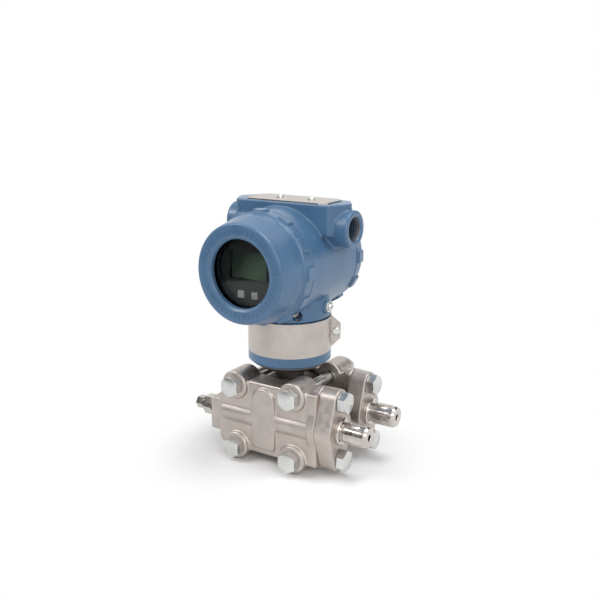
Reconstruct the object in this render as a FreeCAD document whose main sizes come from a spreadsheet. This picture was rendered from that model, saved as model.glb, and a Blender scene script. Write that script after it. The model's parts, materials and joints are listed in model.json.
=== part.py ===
import FreeCAD, Part

import os
import re

import Sketcher

# Differential pressure transmitter, in millimetres, +Z up, standing on its four lower flange bosses.
# Every sub-part is drawn about the neck axis (x = y = 0 there) and then placed by its own Placement,
# so that the origin of the whole lies under the middle of its box. The connectors point along +X and
# the window looks along -Y.

DIMENSIONS = {
    # Reaches of the whole object from the neck axis.
    "connector_reach": 98.3,
    "vent_reach": "=end_pad_reach + vent_hex + vent_nose + vent_gap + vent_tip",
    "front_reach": 78.5,
    "rear_reach": 57,
    # Process flanges: the distances from the middle plane between them, and their outline.
    "flange_seat": 19,
    "flange_face": 42.5,
    "boss_face": 46.5,
    "boss_radius": 13.2,
    "bolt_half": 30.5,
    "bolt_span": 59.3,
    "flange_left": 51,
    "flange_right": 54,
    "flange_base": 9.5,
    "flange_top": 78,
    "corner_cut": 6.5,
    "ridge_radius": 11,
    "ridge_rise": 3,
    "pad_half": 12.3,
    "pad_base": 16,
    "pad_rise": 3,
    "end_pad_reach": 66,
    "end_pad_base": 19.5,
    "end_pad_top": 51,
    "end_pad_front": 36.5,
    "edge_round": 2,
    # Fasteners of the process end.
    "bolt_radius": 5,
    "bolt_across": 17,
    "head_height": 8,
    "nut_height": 8,
    "bolt_past_nut": 2,
    "hole_play": 0.4,
    "screwed_play": 0.05,
    # Process ports, adapters and connectors.
    "port_half": 27,
    "port_height": 44,
    "port_bore": 4.5,
    "port_past_centre": 14,
    "adapter_thick": 16,
    "bulge_radius": 19.5,
    "ear_radius": 11,
    "ear_half": 27,
    "lobe_length": 8,
    "adapter_bolt_depth": 14,
    "collar_radius": 12.5,
    "collar_thick": 4,
    "connector_thread": 10,
    "connector_root": 8.6,
    "connector_relief": 2.5,
    "connector_bore": 2.8,
    "spigot_depth": 10,
    "spigot_radius": 9,
    "adapter_seal_inner": 6,
    "adapter_seal_outer": 9,
    "adapter_seal_thick": 1.8,
    # Vent valves.
    "vent_height": 39.2,
    "vent_shank_radius": 6.5,
    "vent_shank": 14,
    "vent_hex": 10,
    "vent_nose": 2.5,
    "vent_nose_radius": 7,
    "vent_passage": 1.2,
    "vent_stem_radius": 4,
    "vent_tip_across": 11,
    "vent_gap": 0.5,
    "vent_tip": 7.2,
    "vent_ball_radius": 3,
    "vent_ball_depth": 3.8,
    "moving_gap": 0.3,
    # Sensor capsule.
    "capsule_height": 43,
    "capsule_radius": 35,
    "capsule_sink": 3,
    "capsule_flat": 32,
    "capsule_play": 0.2,
    "diaphragm_radius": 22,
    "diaphragm_thick": 0.4,
    "chamber_depth": 2,
    "capsule_seal_inner": 25,
    "capsule_seal_outer": 29,
    "capsule_seal_thick": 1.6,
    # Sensor neck and module.
    "stub_radius": 13.5,
    "stub_bore": 6,
    "shoulder_base": 86.5,
    "shoulder_small": 28,
    "shoulder_inset": 3,
    "shoulder_wide": 90.3,
    "module_radius": 37,
    "ring_step": 1,
    "ring_radius": "=module_radius + ring_step",
    "ring_base": 92.3,
    "ring_chamfer": 1.5,
    "band_base": 102,
    "neck_top": 134,
    "module_wall": 4,
    "module_roof": 5.7,
    "ledge": 2,
    "board_height": 100,
    "board_thick": 1.6,
    "plug_radius": 5,
    "plug_height": 4,
    # Name band.
    "band_thick": 1,
    "band_play": 0.05,
    "band_angle": 28,
    "band_ear": 9.5,
    "band_ear_reach": "=module_radius + band_ear",
    "band_ear_gap": 1.5,
    "band_ear_tip": 6.5,
    "band_screw_out": 5.6,
    "band_screw_reach": "=module_radius + band_screw_out",
    "band_screw_height": 118.5,
    "band_screw_radius": 2,
    "band_screw_head": 3.6,
    "band_screw_head_height": 2.4,
    "band_nut_across": 7,
    "band_nut_height": 3,
    # Turning joint of the housing on the module.
    "stem_radius": 15,
    "stem_rise": 20,
    "stem_top": "=neck_top + stem_rise",
    "stem_bore": 7.5,
    "turn_gap": 0.1,
    "neck_seal_rise": 15,
    "neck_seal_height": "=neck_top + neck_seal_rise",
    "neck_seal_section": 1.3,
    "neck_seal_squash": 0.2,
    # Housing.
    "barrel_lift": 2,
    "barrel_height": "=neck_top + barrel_lift + barrel_radius",
    "barrel_radius": 48,
    "cover_clearance": 1,
    "seam": "=module_radius + cover_clearance",
    "barrel_wall": 7,
    "cavity_radius": "=barrel_radius - barrel_wall",
    "front_floor": 24,
    "rear_floor": 8,
    "socket_wall": 5,
    "socket_roof": 4,
    "neck_step": 0.6,
    "housing_neck_radius": "=module_radius + neck_step",
    "block_half": 57,
    "block_flat_half": 47,
    "block_front": 14.5,
    "block_back": 25,
    "block_side_front": 3.5,
    "block_side_back": 9,
    "block_tall": 33.3,
    "block_base": "=block_top - block_tall",
    "block_rise": 4.3,
    "block_top": "=barrel_height + barrel_radius + block_rise",
    "conduit_reach": 62.5,
    "conduit_radius": 16.2,
    "conduit_bore": 10.4,
    "conduit_back": 6,
    "conduit_drop": 21.3,
    "conduit_depth": 21,
    "wire_way_radius": 8,
    "wire_way_end": 8,
    "conduit_height": "=block_top - conduit_drop",
    "mouth_chamfer": 1.2,
    "cable_shaft": 5.5,
    "cable_way": 4.5,
    "cable_drop": 20,
    "cable_way_height": "=barrel_height - cable_drop",
    "lock_angle": 313,
    "lock_rise": 6.5,
    "lock_height": "=neck_top + lock_rise",
    "lock_screw_radius": 3,
    "lock_hole_radius": 4.4,
    "lock_hole_depth": 9,
    "ground_rise": 12,
    "ground_height": "=neck_top + ground_rise",
    "ground_boss_radius": 6.5,
    "ground_boss_rise": 2.9,
    "ground_boss_reach": "=housing_neck_radius + ground_boss_rise",
    "ground_cup_thick": 1,
    "ground_cup_radius": 5,
    "ground_screw_radius": 2,
    "ground_head_radius": 3.9,
    "ground_head_height": 2.6,
    "ground_screw_depth": 8,
    "rib_half": 3,
    # Top plate and the two buttons under it.
    "plate_half": 42,
    "plate_front": 12,
    "plate_back": 24,
    "plate_corner": 6,
    "plate_thick": 1,
    "plate_screw_half": 16.3,
    "plate_screw_back": 9,
    "plate_screw_radius": 2,
    "plate_screw_head": 3.6,
    "plate_screw_head_height": 1.6,
    "plate_screw_depth": 9,
    "key_half": 31,
    "key_back": 6,
    "key_well_radius": 4,
    "key_well_depth": 9,
    "key_height": 5.5,
    # Covers.
    "cover_face_radius": 41.5,
    "cover_nose_radius": 44.5,
    "cover_nose_depth": 5,
    "lug_ring_length": 13,
    "lug_step": 1.4,
    "lug_count": 12,
    "lug_half": 5.5,
    "lug_rise": 1.9,
    "lug_length": 9.5,
    "lug_margin": 1.4,
    "window_radius": 29,
    "cover_inner": 37.5,
    "cover_spigot": 11,
    "glass_radius": 33,
    "glass_front": 71,
    "glass_thick": 4.6,
    "gasket_thick": 0.8,
    "retainer_thick": 2.2,
    "rear_wall": 4,
    "cover_seal_section": 1,
    "cover_seal_squash": 0.1,
    "cover_seal_back": 1.6,
    # Display and electronics in the front compartment.
    "electronics_radius": 36,
    "electronics_front": 46,
    "display_radius": 28.5,
    "display_front": 62.8,
    "display_wall": 2,
    "display_above": 6,
    "lcd_half": 18.5,
    "lcd_low": 13,
    "lcd_high": 10.5,
    "lcd_margin": 1,
    "lcd_thick": 2.6,
    "display_board_thick": 1.6,
    "post_radius": 2.2,
    "post_circle": 20,
    "button_half": 3,
    "button_apart": 7,
    "button_drop": 19.6,
    "button_rise": 1.3,
    "button_flange": 0.8,
    "button_lip": 0.7,
    "board_screw_circle": 33.4,
    "board_screw_radius": 1.4,
    "board_screw_head": 2.3,
    "board_screw_head_height": 2,
    "board_screw_depth": 5,
    # Terminal block in the rear compartment.
    "block_width": 60,
    "block_tall": 26,
    "block_deep": 13,
    "block_screw_half": 25,
    "terminal_apart": 15,
    "terminal_radius": 2,
    "terminal_head": 4.2,
    "terminal_head_height": 2.6,
    "terminal_depth": 6,
    # Sensor cable on the neck axis.
    "cable_radius": 2,
    "cable_bend": 7,
}

# Places worked out from the cells, written as formulas of the sheet.
AXIS_X = "(vent_reach - connector_reach) / 2"
AXIS_Y = "(front_reach - rear_reach) / 2"
BOLT_LOW = "boss_radius"
BOLT_HIGH = "(boss_radius + bolt_span)"
ADAPTER_FACE = "(flange_right + adapter_thick)"
EAR_TAPER = "((bulge_radius - ear_radius) / ear_half)"
EAR_LEVEL = f"sqrt(1 - {EAR_TAPER}^2)"
MODULE_TOP = "(neck_top - moving_gap)"
SOCKET_TOP = "(stem_top + moving_gap + 1)"
VENT_MOUTH = "(end_pad_reach + vent_hex + vent_nose)"
VENT_BALL = "(vent_ball_depth - end_pad_reach)"
VENT_TIP_BACK = "(vent_reach - vent_tip)"
LCD_FRONT = "(display_front - display_wall)"
LCD_BACK = "(display_front - display_wall - lcd_thick)"
GLASS_BACK = "(glass_front - glass_thick)"

V = FreeCAD.Vector
AXES = {
    "X": FreeCAD.Rotation(V(0, 1, 0), 90),
    "Y": FreeCAD.Rotation(V(1, 0, 0), -90),
    "Z": FreeCAD.Rotation(),
}

DOC = FreeCAD.newDocument("transmitter")
SHEET = DOC.addObject("Spreadsheet::Sheet", "Dims")
SUB_PARTS = []


# ---------------------------------------------------------------- drawing helpers

def fill_sheet():
    """Write each driving dimension into its own cell, under its alias."""
    for row, alias in enumerate(DIMENSIONS, 1):
        SHEET.set(f"A{row}", alias)
        SHEET.setAlias(f"B{row}", alias)
    for row, content in enumerate(DIMENSIONS.values(), 1):
        SHEET.set(f"B{row}", str(content))
    DOC.recompute()


def formula(text):
    """Point each plain word of a formula at its cell in the sheet."""
    return re.sub(r"\b[a-z]\w*\b(?!\()", r"Dims.\g<0>", str(text))


def size(text):
    """The present value of a formula."""
    return float(SHEET.evalExpression(formula(text)))


def bind(item, **formulas):
    for prop, text in formulas.items():
        item.setExpression(prop, formula(text))


def place(item, x="0", y="0", z="0"):
    """Bind where an object stands."""
    for letter, text in zip("xyz", (x, y, z)):
        item.setExpression("Placement.Base." + letter, formula(text))
    return item


def cylinder(name, radius, length, x="0", y="0", z="0", axis="Z"):
    bar = DOC.addObject("Part::Cylinder", name)
    bind(bar, Radius=radius, Height=length)
    bar.Placement = FreeCAD.Placement(V(), AXES[axis])
    return place(bar, x, y, z)


def box(name, low, high):
    """A block between two corners, each given as three formulas."""
    block = DOC.addObject("Part::Box", name)
    for prop, near, far in zip(("Length", "Width", "Height"), low, high):
        block.setExpression(prop, formula(f"({far}) - ({near})"))
    return place(block, *low)


def torus(name, ring, section, x="0", y="0", z="0", axis="Z"):
    seal = DOC.addObject("Part::Torus", name)
    bind(seal, Radius1=ring, Radius2=section)
    seal.Placement = FreeCAD.Placement(V(), AXES[axis])
    return place(seal, x, y, z)


def fuse(name, pieces):
    whole = DOC.addObject("Part::MultiFuse", name)
    whole.Shapes = pieces
    whole.Refine = True
    return whole


def cut(name, base, tools):
    """Take the tools out of the base one after another."""
    for number, tool in enumerate(tools, 1):
        last = number == len(tools)
        step = DOC.addObject("Part::Cut", name if last else f"{name}_cut_{number}")
        step.Base = base
        step.Tool = tool
        base = step
    return base


def wrapped(name, item):
    """A placed piece held in a compound, so that it can be placed again as a sub-part."""
    whole = DOC.addObject("Part::Compound", name)
    whole.Links = [item]
    return whole


def new_body(name):
    return DOC.addObject("PartDesign::Body", name)


def sketch_on(body, role, lift="0"):
    """A sketch on one of the body's own planes, lifted along the plane's normal."""
    plane = next(item for item in body.Origin.OriginFeatures if item.Role == role)
    drawing = body.newObject("Sketcher::SketchObject", body.Name + "_sketch")
    drawing.AttachmentSupport = (plane, [""])
    drawing.MapMode = "FlatFace"
    drawing.setExpression("AttachmentOffset.Base.z", formula(lift))
    return drawing


def outline(drawing, points):
    """A closed outline whose every corner is bound to its two formulas."""
    spots = [V(size(across), size(up), 0) for across, up in points]
    for index, spot in enumerate(spots):
        drawing.addGeometry(Part.LineSegment(spot, spots[(index + 1) % len(spots)]))
    for index in range(len(spots)):
        following = (index + 1) % len(spots)
        drawing.addConstraint(Sketcher.Constraint("Coincident", index, 2, following, 1))
    for index, (spot, texts) in enumerate(zip(spots, points)):
        for kind, start, text in zip(("DistanceX", "DistanceY"), (spot.x, spot.y), texts):
            rule = drawing.addConstraint(Sketcher.Constraint(kind, -1, 1, index, 1, start))
            drawing.setExpression(f"Constraints[{rule}]", formula(text))


def turned(name, profile, axis="Z"):
    """A turned piece: (radius, along) points swept about one axis of the body."""
    body = new_body(name)
    if axis == "X":
        drawing = sketch_on(body, "XY_Plane")
        outline(drawing, [(along, radius) for radius, along in profile])
    else:
        drawing = sketch_on(body, "XZ_Plane" if axis == "Z" else "XY_Plane")
        outline(drawing, profile)
    sweep = body.newObject("PartDesign::Revolution", name + "_turn")
    sweep.Profile = drawing
    sweep.ReferenceAxis = (drawing, ["H_Axis" if axis == "X" else "V_Axis"])
    sweep.Angle = 360
    return body


def pad(body, role, points, start, length):
    """Pad an outline from start, along the plane's normal."""
    drawing = sketch_on(body, role, start)
    outline(drawing, points)
    solid = body.newObject("PartDesign::Pad", body.Name + "_pad")
    solid.Profile = drawing
    bind(solid, Length=length)
    return solid


def prism(name, role, points, start, length):
    body = new_body(name)
    pad(body, role, points, start, length)
    return body


def hexagon(across):
    """The corners of a hexagon of this width across its flats."""
    half = f"({across}) / 2"
    side = f"({across}) / 2 / sqrt(3)"
    corner = f"({across}) / sqrt(3)"
    return [(corner, "0"), (side, half), (f"-{side}", half),
            (f"-{corner}", "0"), (f"-{side}", f"-({half})"), (side, f"-({half})")]


def rectangle(left, low, right, high):
    return [(left, low), (right, low), (right, high), (left, high)]


def round_edges(body, radius, choose):
    """Round those edges of the body that the test picks."""
    DOC.recompute()
    tip = body.Tip
    names = [f"Edge{number}" for number, edge in enumerate(tip.Shape.Edges, 1) if choose(edge)]
    rounding = body.newObject("PartDesign::Fillet", body.Name + "_round")
    rounding.Base = (tip, names)
    bind(rounding, Radius=radius)
    return body


def hex_screw(name, across, head, radius, length, axis_role):
    """A hexagon head on a plain shank; the seat under the head is at the body's origin.

    The shank runs against the plane's normal and the head along it.
    """
    body = prism(name + "_head", axis_role, hexagon(across), "0", head)
    shank_axis = {"XZ_Plane": "Y", "YZ_Plane": "X"}[axis_role]
    start = {"XZ_Plane": ("0", "0", "0"), "YZ_Plane": (f"-({length})", "0", "0")}[axis_role]
    shank = cylinder(name + "_shank", radius, length, *start, axis=shank_axis)
    return fuse(name, [body, shank])


def copies(name, piece, spots):
    """One fastener repeated at several places, as separate solids of one sub-part."""
    links = []
    for number, spot in enumerate(spots, 1):
        link = DOC.addObject("App::Link", f"{name}_{number}")
        link.LinkedObject = piece
        link.LinkTransform = True
        links.append(place(link, *spot))
    whole = DOC.addObject("Part::Compound", name)
    whole.Links = links
    return whole


def finish(label, item, x="0", y="0", z="0"):
    """Name a sub-part, place it about the neck axis and keep it for export."""
    item.Label = label
    SUB_PARTS.append(item)
    return place(item, f"{AXIS_X} + ({x})", f"{AXIS_Y} + ({y})", z)


def mirrored(label, source):
    """The same piece on the other side of the middle plane between the flanges."""
    twin = DOC.addObject("Part::Mirroring", label)
    twin.Source = source
    twin.Normal = V(0, 1, 0)
    twin.setExpression("Base.y", formula(AXIS_Y))
    twin.Label = label
    SUB_PARTS.append(twin)
    return twin


# ---------------------------------------------------------------- process end

def lobe(name, start, length):
    """The oval end shape shared by the flange and its adapter, along +X."""
    level = EAR_LEVEL
    big_y = f"bulge_radius * {level}"
    big_z = f"bulge_radius * {EAR_TAPER}"
    small_y = f"ear_radius * {level}"
    small_z = f"(ear_half + ear_radius * {EAR_TAPER})"
    middle = "-port_half"
    right = [(f"{middle} + {big_y}", f"port_height + {big_z}"),
             (f"{middle} + {small_y}", f"port_height + {small_z}")]
    left = [(f"{middle} - {small_y}", f"port_height + {small_z}"),
            (f"{middle} - {big_y}", f"port_height + {big_z}")]
    low_left = [(f"{middle} - {big_y}", f"port_height - {big_z}"),
                (f"{middle} - {small_y}", f"port_height - {small_z}")]
    low_right = [(f"{middle} + {small_y}", f"port_height - {small_z}"),
                 (f"{middle} + {big_y}", f"port_height - {big_z}")]
    web = prism(name + "_web", "YZ_Plane", right + left + low_left + low_right, start, length)
    rounds = [
        cylinder(f"{name}_round_{number}", radius, length, start, middle, f"port_height + {lift}", "X")
        for number, (radius, lift) in enumerate(
            [("bulge_radius", "0"), ("ear_radius", "ear_half"), ("ear_radius", "(-ear_half)")], 1)
    ]
    return fuse(name, [web] + rounds)


def flange_blank():
    """The cast front flange before its holes."""
    plate = prism("flange_plate", "XZ_Plane", [
        ("-flange_left", "flange_base + corner_cut"),
        ("-flange_left + corner_cut", "flange_base"),
        ("flange_right", "flange_base"),
        ("flange_right", "flange_top"),
        ("-bolt_half", "flange_top"),
        ("-bolt_half - boss_radius", BOLT_HIGH),
        ("-flange_left", "flange_top - 3 * corner_cut"),
    ], "flange_seat", "flange_face - flange_seat")
    front = -size("flange_face")
    round_edges(plate, "edge_round", lambda edge: all(
        abs(corner.Point.y - front) < 0.01 for corner in edge.Vertexes)
        and edge.Vertexes[0].Point.x + edge.Vertexes[-1].Point.x < 2 * size("flange_right") - 0.1)
    bosses = []
    for number, (side, height) in enumerate(
            [("-1", BOLT_LOW), ("1", BOLT_LOW), ("-1", BOLT_HIGH), ("1", BOLT_HIGH)], 1):
        boss = turned(f"boss_{number}", [
            ("0", "-flange_seat - 1"), ("boss_radius", "-flange_seat - 1"),
            ("boss_radius", "-boss_face + 1"), ("boss_radius - 1", "-boss_face"),
            ("0", "-boss_face"),
        ], "Y")
        bosses.append(place(boss, f"{side} * bolt_half", "0", height))
    ridge = cylinder("ridge", "ridge_radius", "flange_left - 3 + flange_right",
                     "-flange_left + 3", "-flange_face - ridge_rise + ridge_radius",
                     "capsule_height", "X")
    panel = prism("panel", "XZ_Plane", rectangle(
        "-pad_half", "pad_base", "pad_half", "flange_top - pad_half - 4"),
        "flange_face - 5", "pad_rise + 5")
    low = size("pad_base")
    half = size("pad_half")
    round_edges(panel, "edge_round * 2", lambda edge: edge.BoundBox.YLength > 1
                and edge.BoundBox.ZMax < low + 0.1)
    face = -size("flange_face + pad_rise")
    top = size("flange_top - pad_half - 4")
    round_edges(panel, "edge_round / 2", lambda edge: edge.BoundBox.YLength < 0.01
                and abs(edge.BoundBox.YMin - face) < 0.01 and edge.BoundBox.ZMin < top - 0.1)
    cap = turned("panel_cap", [
        ("0", "-flange_face + 5"), ("pad_half", "-flange_face + 5"),
        ("pad_half", "-flange_face - pad_rise + edge_round / 2"),
        ("pad_half - edge_round / 2", "-flange_face - pad_rise"), ("0", "-flange_face - pad_rise"),
    ], "Y")
    place(cap, "0", "0", "flange_top - pad_half - 4")
    end_pad = prism("end_pad", "XZ_Plane", rectangle(
        "-end_pad_reach", "end_pad_base", "-flange_left + 5", "end_pad_top"),
        "flange_seat", "end_pad_front - flange_seat")
    reach = -size("end_pad_reach")
    round_edges(end_pad, "edge_round", lambda edge: edge.BoundBox.XMax < reach + 0.01)
    end_lobe = lobe("flange_lobe", "flange_right - lobe_length", "lobe_length")
    inner_side = box("lobe_trim", ("0", "-flange_seat", "0"),
                     ("flange_right + 1", "flange_face", "flange_top * 2"))
    outer_lobe = cut("outer_lobe", end_lobe, [inner_side])
    return fuse("flange_blank", [plate, ridge, panel, cap, end_pad, outer_lobe] + bosses)


def front_flange():
    """One cast process flange with its bolt holes, port, vent passage and capsule recess."""
    holes = [
        cylinder(f"bolt_hole_{number}", "bolt_radius + hole_play", "boss_face + 2",
                 f"{side} * bolt_half", "-boss_face - 1", height, "Y")
        for number, (side, height) in enumerate(
            [("-1", BOLT_LOW), ("1", BOLT_LOW), ("-1", BOLT_HIGH), ("1", BOLT_HIGH)], 1)
    ]
    for number, lift in enumerate(("ear_half", "(-ear_half)"), 1):
        holes.append(cylinder(f"adapter_tap_{number}", "bolt_radius", "adapter_bolt_depth + 1",
                              "flange_right - adapter_bolt_depth - 0.5", "-port_half",
                              f"port_height + {lift}", "X"))
    holes.append(cylinder("port", "port_bore", "flange_right + port_past_centre + 1",
                          "-port_past_centre", "-port_half", "port_height", "X"))
    holes.append(cylinder("vent_hole", "vent_shank_radius + screwed_play", "vent_shank + 1",
                          "-end_pad_reach - 1", "-port_half", "vent_height", "X"))
    holes.append(cylinder("vent_way", "vent_passage", "end_pad_reach - port_past_centre + 3",
                          "-end_pad_reach", "-port_half", "vent_height", "X"))
    holes.append(cylinder("capsule_recess", "capsule_radius + capsule_play", "capsule_sink + 2",
                          "0", "-flange_seat - capsule_sink", "capsule_height", "Y"))
    holes.append(cylinder("chamber", "diaphragm_radius", "chamber_depth + 1",
                          "0", "-flange_seat - capsule_sink - chamber_depth",
                          "capsule_height", "Y"))
    return finish("front_flange", cut("front_flange", flange_blank(), holes))


def sensor_capsule():
    """The round capsule clamped between the flanges, flat on top where the neck stands on it."""
    half = "(flange_seat + capsule_sink)"
    drum = cylinder("capsule_drum", "capsule_radius", f"2 * {half}", "0", f"-{half}",
                    "capsule_height", "Y")
    crown = box("capsule_crown",
                ("-capsule_radius", f"-{half}", "capsule_height + capsule_flat"),
                ("capsule_radius", half, "capsule_height + capsule_radius + 1"))
    tools = [crown]
    for name, near in (("front", f"-{half}"), ("rear", f"{half} - diaphragm_thick")):
        tools.append(cylinder(f"{name}_sink", "diaphragm_radius", "diaphragm_thick", "0", near,
                              "capsule_height", "Y"))
    for name, side in (("front", "-1"), ("rear", "1")):
        tools.append(capsule_ring(f"{name}_groove", side))
    return finish("sensor_capsule", cut("sensor_capsule", drum, tools))


def capsule_ring(name, side):
    """The flat ring round a diaphragm: the groove's shape and the seal's."""
    face = "(flange_seat + capsule_sink)"
    near = f"{side} * {face}"
    far = f"{side} * ({face} - capsule_seal_thick)"
    ring = turned(name, [
        ("capsule_seal_inner", near), ("capsule_seal_outer", near),
        ("capsule_seal_outer", far), ("capsule_seal_inner", far),
    ], "Y")
    return place(ring, "0", "0", "capsule_height")


def capsule_seal():
    return finish("front_capsule_seal", capsule_ring("front_capsule_seal", "-1"),
                  z="capsule_height")


def diaphragm():
    disc = cylinder("front_diaphragm", "diaphragm_radius", "diaphragm_thick", axis="Y")
    return finish("front_diaphragm", disc, y="-flange_seat - capsule_sink", z="capsule_height")


def flange_bolts():
    length = "2 * boss_face + nut_height + bolt_past_nut"
    bolt = hex_screw("flange_bolt", "bolt_across", "head_height", "bolt_radius", length, "XZ_Plane")
    spots = [(f"{side} * bolt_half", "-boss_face", height)
             for side in ("-1", "1") for height in (BOLT_LOW, BOLT_HIGH)]
    finish("flange_bolts", copies("flange_bolts", bolt, spots))
    blank = prism("nut_blank", "XZ_Plane", hexagon("bolt_across"), "0", "nut_height")
    hole = cylinder("nut_hole", "bolt_radius", "nut_height + 2", "0", "-nut_height - 1", "0", "Y")
    nut = cut("flange_nut", blank, [hole])
    spots = [(x, "boss_face + nut_height", z) for x, y, z in spots]
    finish("flange_nuts", copies("flange_nuts", nut, spots))


def adapter():
    """The oval adapter on the flange's port, with the connector's socket."""
    blank = lobe("adapter_blank", "flange_right", "adapter_thick")
    holes = [
        cylinder(f"adapter_hole_{number}", "bolt_radius + hole_play", "adapter_thick + 2",
                 "flange_right - 1", "-port_half", f"port_height + {lift}", "X")
        for number, lift in enumerate(("ear_half", "(-ear_half)"), 1)
    ]
    holes.append(cylinder("adapter_way", "port_bore", "adapter_thick + 2", "flange_right - 1",
                          "-port_half", "port_height", "X"))
    holes.append(cylinder("adapter_socket", "spigot_radius + screwed_play", "spigot_depth + 1",
                          f"{ADAPTER_FACE} - spigot_depth", "-port_half", "port_height", "X"))
    groove = turned("adapter_groove", adapter_seal_profile(), "X")
    holes.append(place(groove, "0", "-port_half", "port_height"))
    return finish("front_adapter", cut("front_adapter", blank, holes))


def adapter_seal_profile():
    return [
        ("adapter_seal_inner", "flange_right"), ("adapter_seal_outer", "flange_right"),
        ("adapter_seal_outer", "flange_right + adapter_seal_thick"),
        ("adapter_seal_inner", "flange_right + adapter_seal_thick"),
    ]


def adapter_seal():
    ring = turned("front_adapter_seal", adapter_seal_profile(), "X")
    return finish("front_adapter_seal", ring, y="-port_half", z="port_height")


def adapter_bolts():
    length = "adapter_thick + adapter_bolt_depth"
    bolt = hex_screw("adapter_bolt", "bolt_across", "head_height", "bolt_radius", length,
                     "YZ_Plane")
    spots = [(ADAPTER_FACE, f"{side} * port_half", f"port_height + {lift}")
             for side in ("-1", "1") for lift in ("ear_half", "(-ear_half)")]
    return finish("adapter_bolts", copies("adapter_bolts", bolt, spots))


def connector():
    """The male process connector: collar, relief, threaded length and pointed nose."""
    body = turned("front_connector", [
        ("connector_bore", f"{ADAPTER_FACE} - spigot_depth"),
        ("spigot_radius", f"{ADAPTER_FACE} - spigot_depth"),
        ("spigot_radius", ADAPTER_FACE),
        ("collar_radius", ADAPTER_FACE),
        ("collar_radius", f"{ADAPTER_FACE} + collar_thick - 1"),
        ("collar_radius - 1", f"{ADAPTER_FACE} + collar_thick"),
        ("connector_root", f"{ADAPTER_FACE} + collar_thick"),
        ("connector_root", f"{ADAPTER_FACE} + collar_thick + connector_relief"),
        ("connector_thread", f"{ADAPTER_FACE} + collar_thick + connector_relief + 1.4"),
        ("connector_thread", "connector_reach - 2"),
        ("connector_thread - 1.6", "connector_reach"),
        ("connector_bore + 0.5", "connector_reach"),
        ("connector_bore", "connector_reach - 0.5"),
    ], "X")
    return finish("front_connector", body, y="-port_half", z="port_height")


def vent_body():
    """The vent's hexagon body, screwed into the end pad, with its stem bore and ball seat."""
    inner = "(vent_stem_radius + moving_gap)"
    shell = turned("vent_core", [
        ("vent_passage", "-end_pad_reach + vent_shank"),
        ("vent_shank_radius", "-end_pad_reach + vent_shank"),
        ("vent_shank_radius", "-end_pad_reach"),
        ("vent_nose_radius", "-end_pad_reach"),
        ("vent_nose_radius", f"-{VENT_MOUTH} + 1"),
        ("vent_nose_radius - 1", f"-{VENT_MOUTH}"),
        (inner, f"-{VENT_MOUTH}"),
        (inner, "-end_pad_reach + 4"),
        ("vent_passage", "-end_pad_reach + 7"),
    ], "X")
    nut = prism("vent_hexagon", "YZ_Plane", hexagon("bolt_across"), "-end_pad_reach - vent_hex",
                "vent_hex")
    bore = cylinder("vent_bore", inner, "vent_hex + 2", "-end_pad_reach - vent_hex - 1", axis="X")
    drilled = cut("vent_nut", nut, [bore])
    return finish("front_vent_body", fuse("front_vent_body", [shell, drilled]),
                  y="-port_half", z="vent_height")


def vent_ball():
    ball = DOC.addObject("Part::Sphere", "front_vent_ball")
    bind(ball, Radius="vent_ball_radius")
    return finish("front_vent_ball", ball, x=VENT_BALL, y="-port_half", z="vent_height")


def vent_stem():
    """The vent stem: a plain shank that ends at the ball and a small hexagon tip."""
    near = f"({VENT_BALL} - vent_ball_radius - moving_gap)"
    shank = turned("vent_shank", [
        ("0", near), ("vent_stem_radius - 1", near), ("vent_stem_radius", f"{near} - 1"),
        ("vent_stem_radius", f"-{VENT_TIP_BACK}"), ("0", f"-{VENT_TIP_BACK}"),
    ], "X")
    tip = prism("vent_tip_head", "YZ_Plane", hexagon("vent_tip_across"), "-vent_reach", "vent_tip")
    return finish("front_vent_stem", fuse("front_vent_stem", [shank, tip]),
                  y="-port_half", z="vent_height")


# ---------------------------------------------------------------- neck and module

def sensor_neck():
    """The steel neck: a stub on the capsule and the wide shoulder that closes the module."""
    body = turned("sensor_neck", [
        ("stub_bore", "capsule_height + capsule_flat"),
        ("stub_radius", "capsule_height + capsule_flat"),
        ("stub_radius", "shoulder_base"),
        ("shoulder_small", "shoulder_base"),
        ("module_radius - shoulder_inset", "shoulder_wide"),
        ("module_radius - shoulder_inset", "ring_base"),
        ("stub_bore", "ring_base"),
    ])
    return finish("sensor_neck", body)


def sensor_module():
    """The painted module: ring, plain drum under the name band, and the stem the housing turns on."""
    groove = "(stem_radius + turn_gap - 2 * neck_seal_section + neck_seal_squash)"
    body = turned("sensor_module", [
        ("module_radius - module_wall", "ring_base"),
        ("ring_radius - ring_chamfer", "ring_base"),
        ("ring_radius", "ring_base + ring_chamfer"),
        ("ring_radius", "band_base"),
        ("module_radius", "band_base"),
        ("module_radius", MODULE_TOP),
        ("stem_radius", MODULE_TOP),
        ("stem_radius", "neck_seal_height - neck_seal_section"),
        (groove, "neck_seal_height - neck_seal_section"),
        (groove, "neck_seal_height + neck_seal_section"),
        ("stem_radius", "neck_seal_height + neck_seal_section"),
        ("stem_radius", "stem_top - 1"),
        ("stem_radius - 1", "stem_top"),
        ("stem_bore", "stem_top"),
        ("stem_bore", f"{MODULE_TOP} - module_roof"),
        ("module_radius - module_wall - ledge", f"{MODULE_TOP} - module_roof"),
        ("module_radius - module_wall - ledge", "board_height"),
        ("module_radius - module_wall", "board_height"),
    ])
    return finish("sensor_module", body)


def sensor_board():
    disc = cylinder("sensor_board", "module_radius - module_wall - 0.1", "board_thick")
    finish("sensor_board", disc, z="board_height - board_thick")
    plug = turned("sensor_plug", [
        ("0", "0"), ("plug_radius", "0"), ("plug_radius", "plug_height - 1"),
        ("plug_radius - 1", "plug_height"), ("0", "plug_height"),
    ])
    finish("sensor_plug", plug, z="board_height")


def neck_seal():
    ring = torus("neck_seal", "stem_radius + turn_gap - neck_seal_section + neck_seal_squash / 2",
                 "neck_seal_section - neck_seal_squash / 2")
    return finish("neck_seal", ring, z="neck_seal_height")


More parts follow.
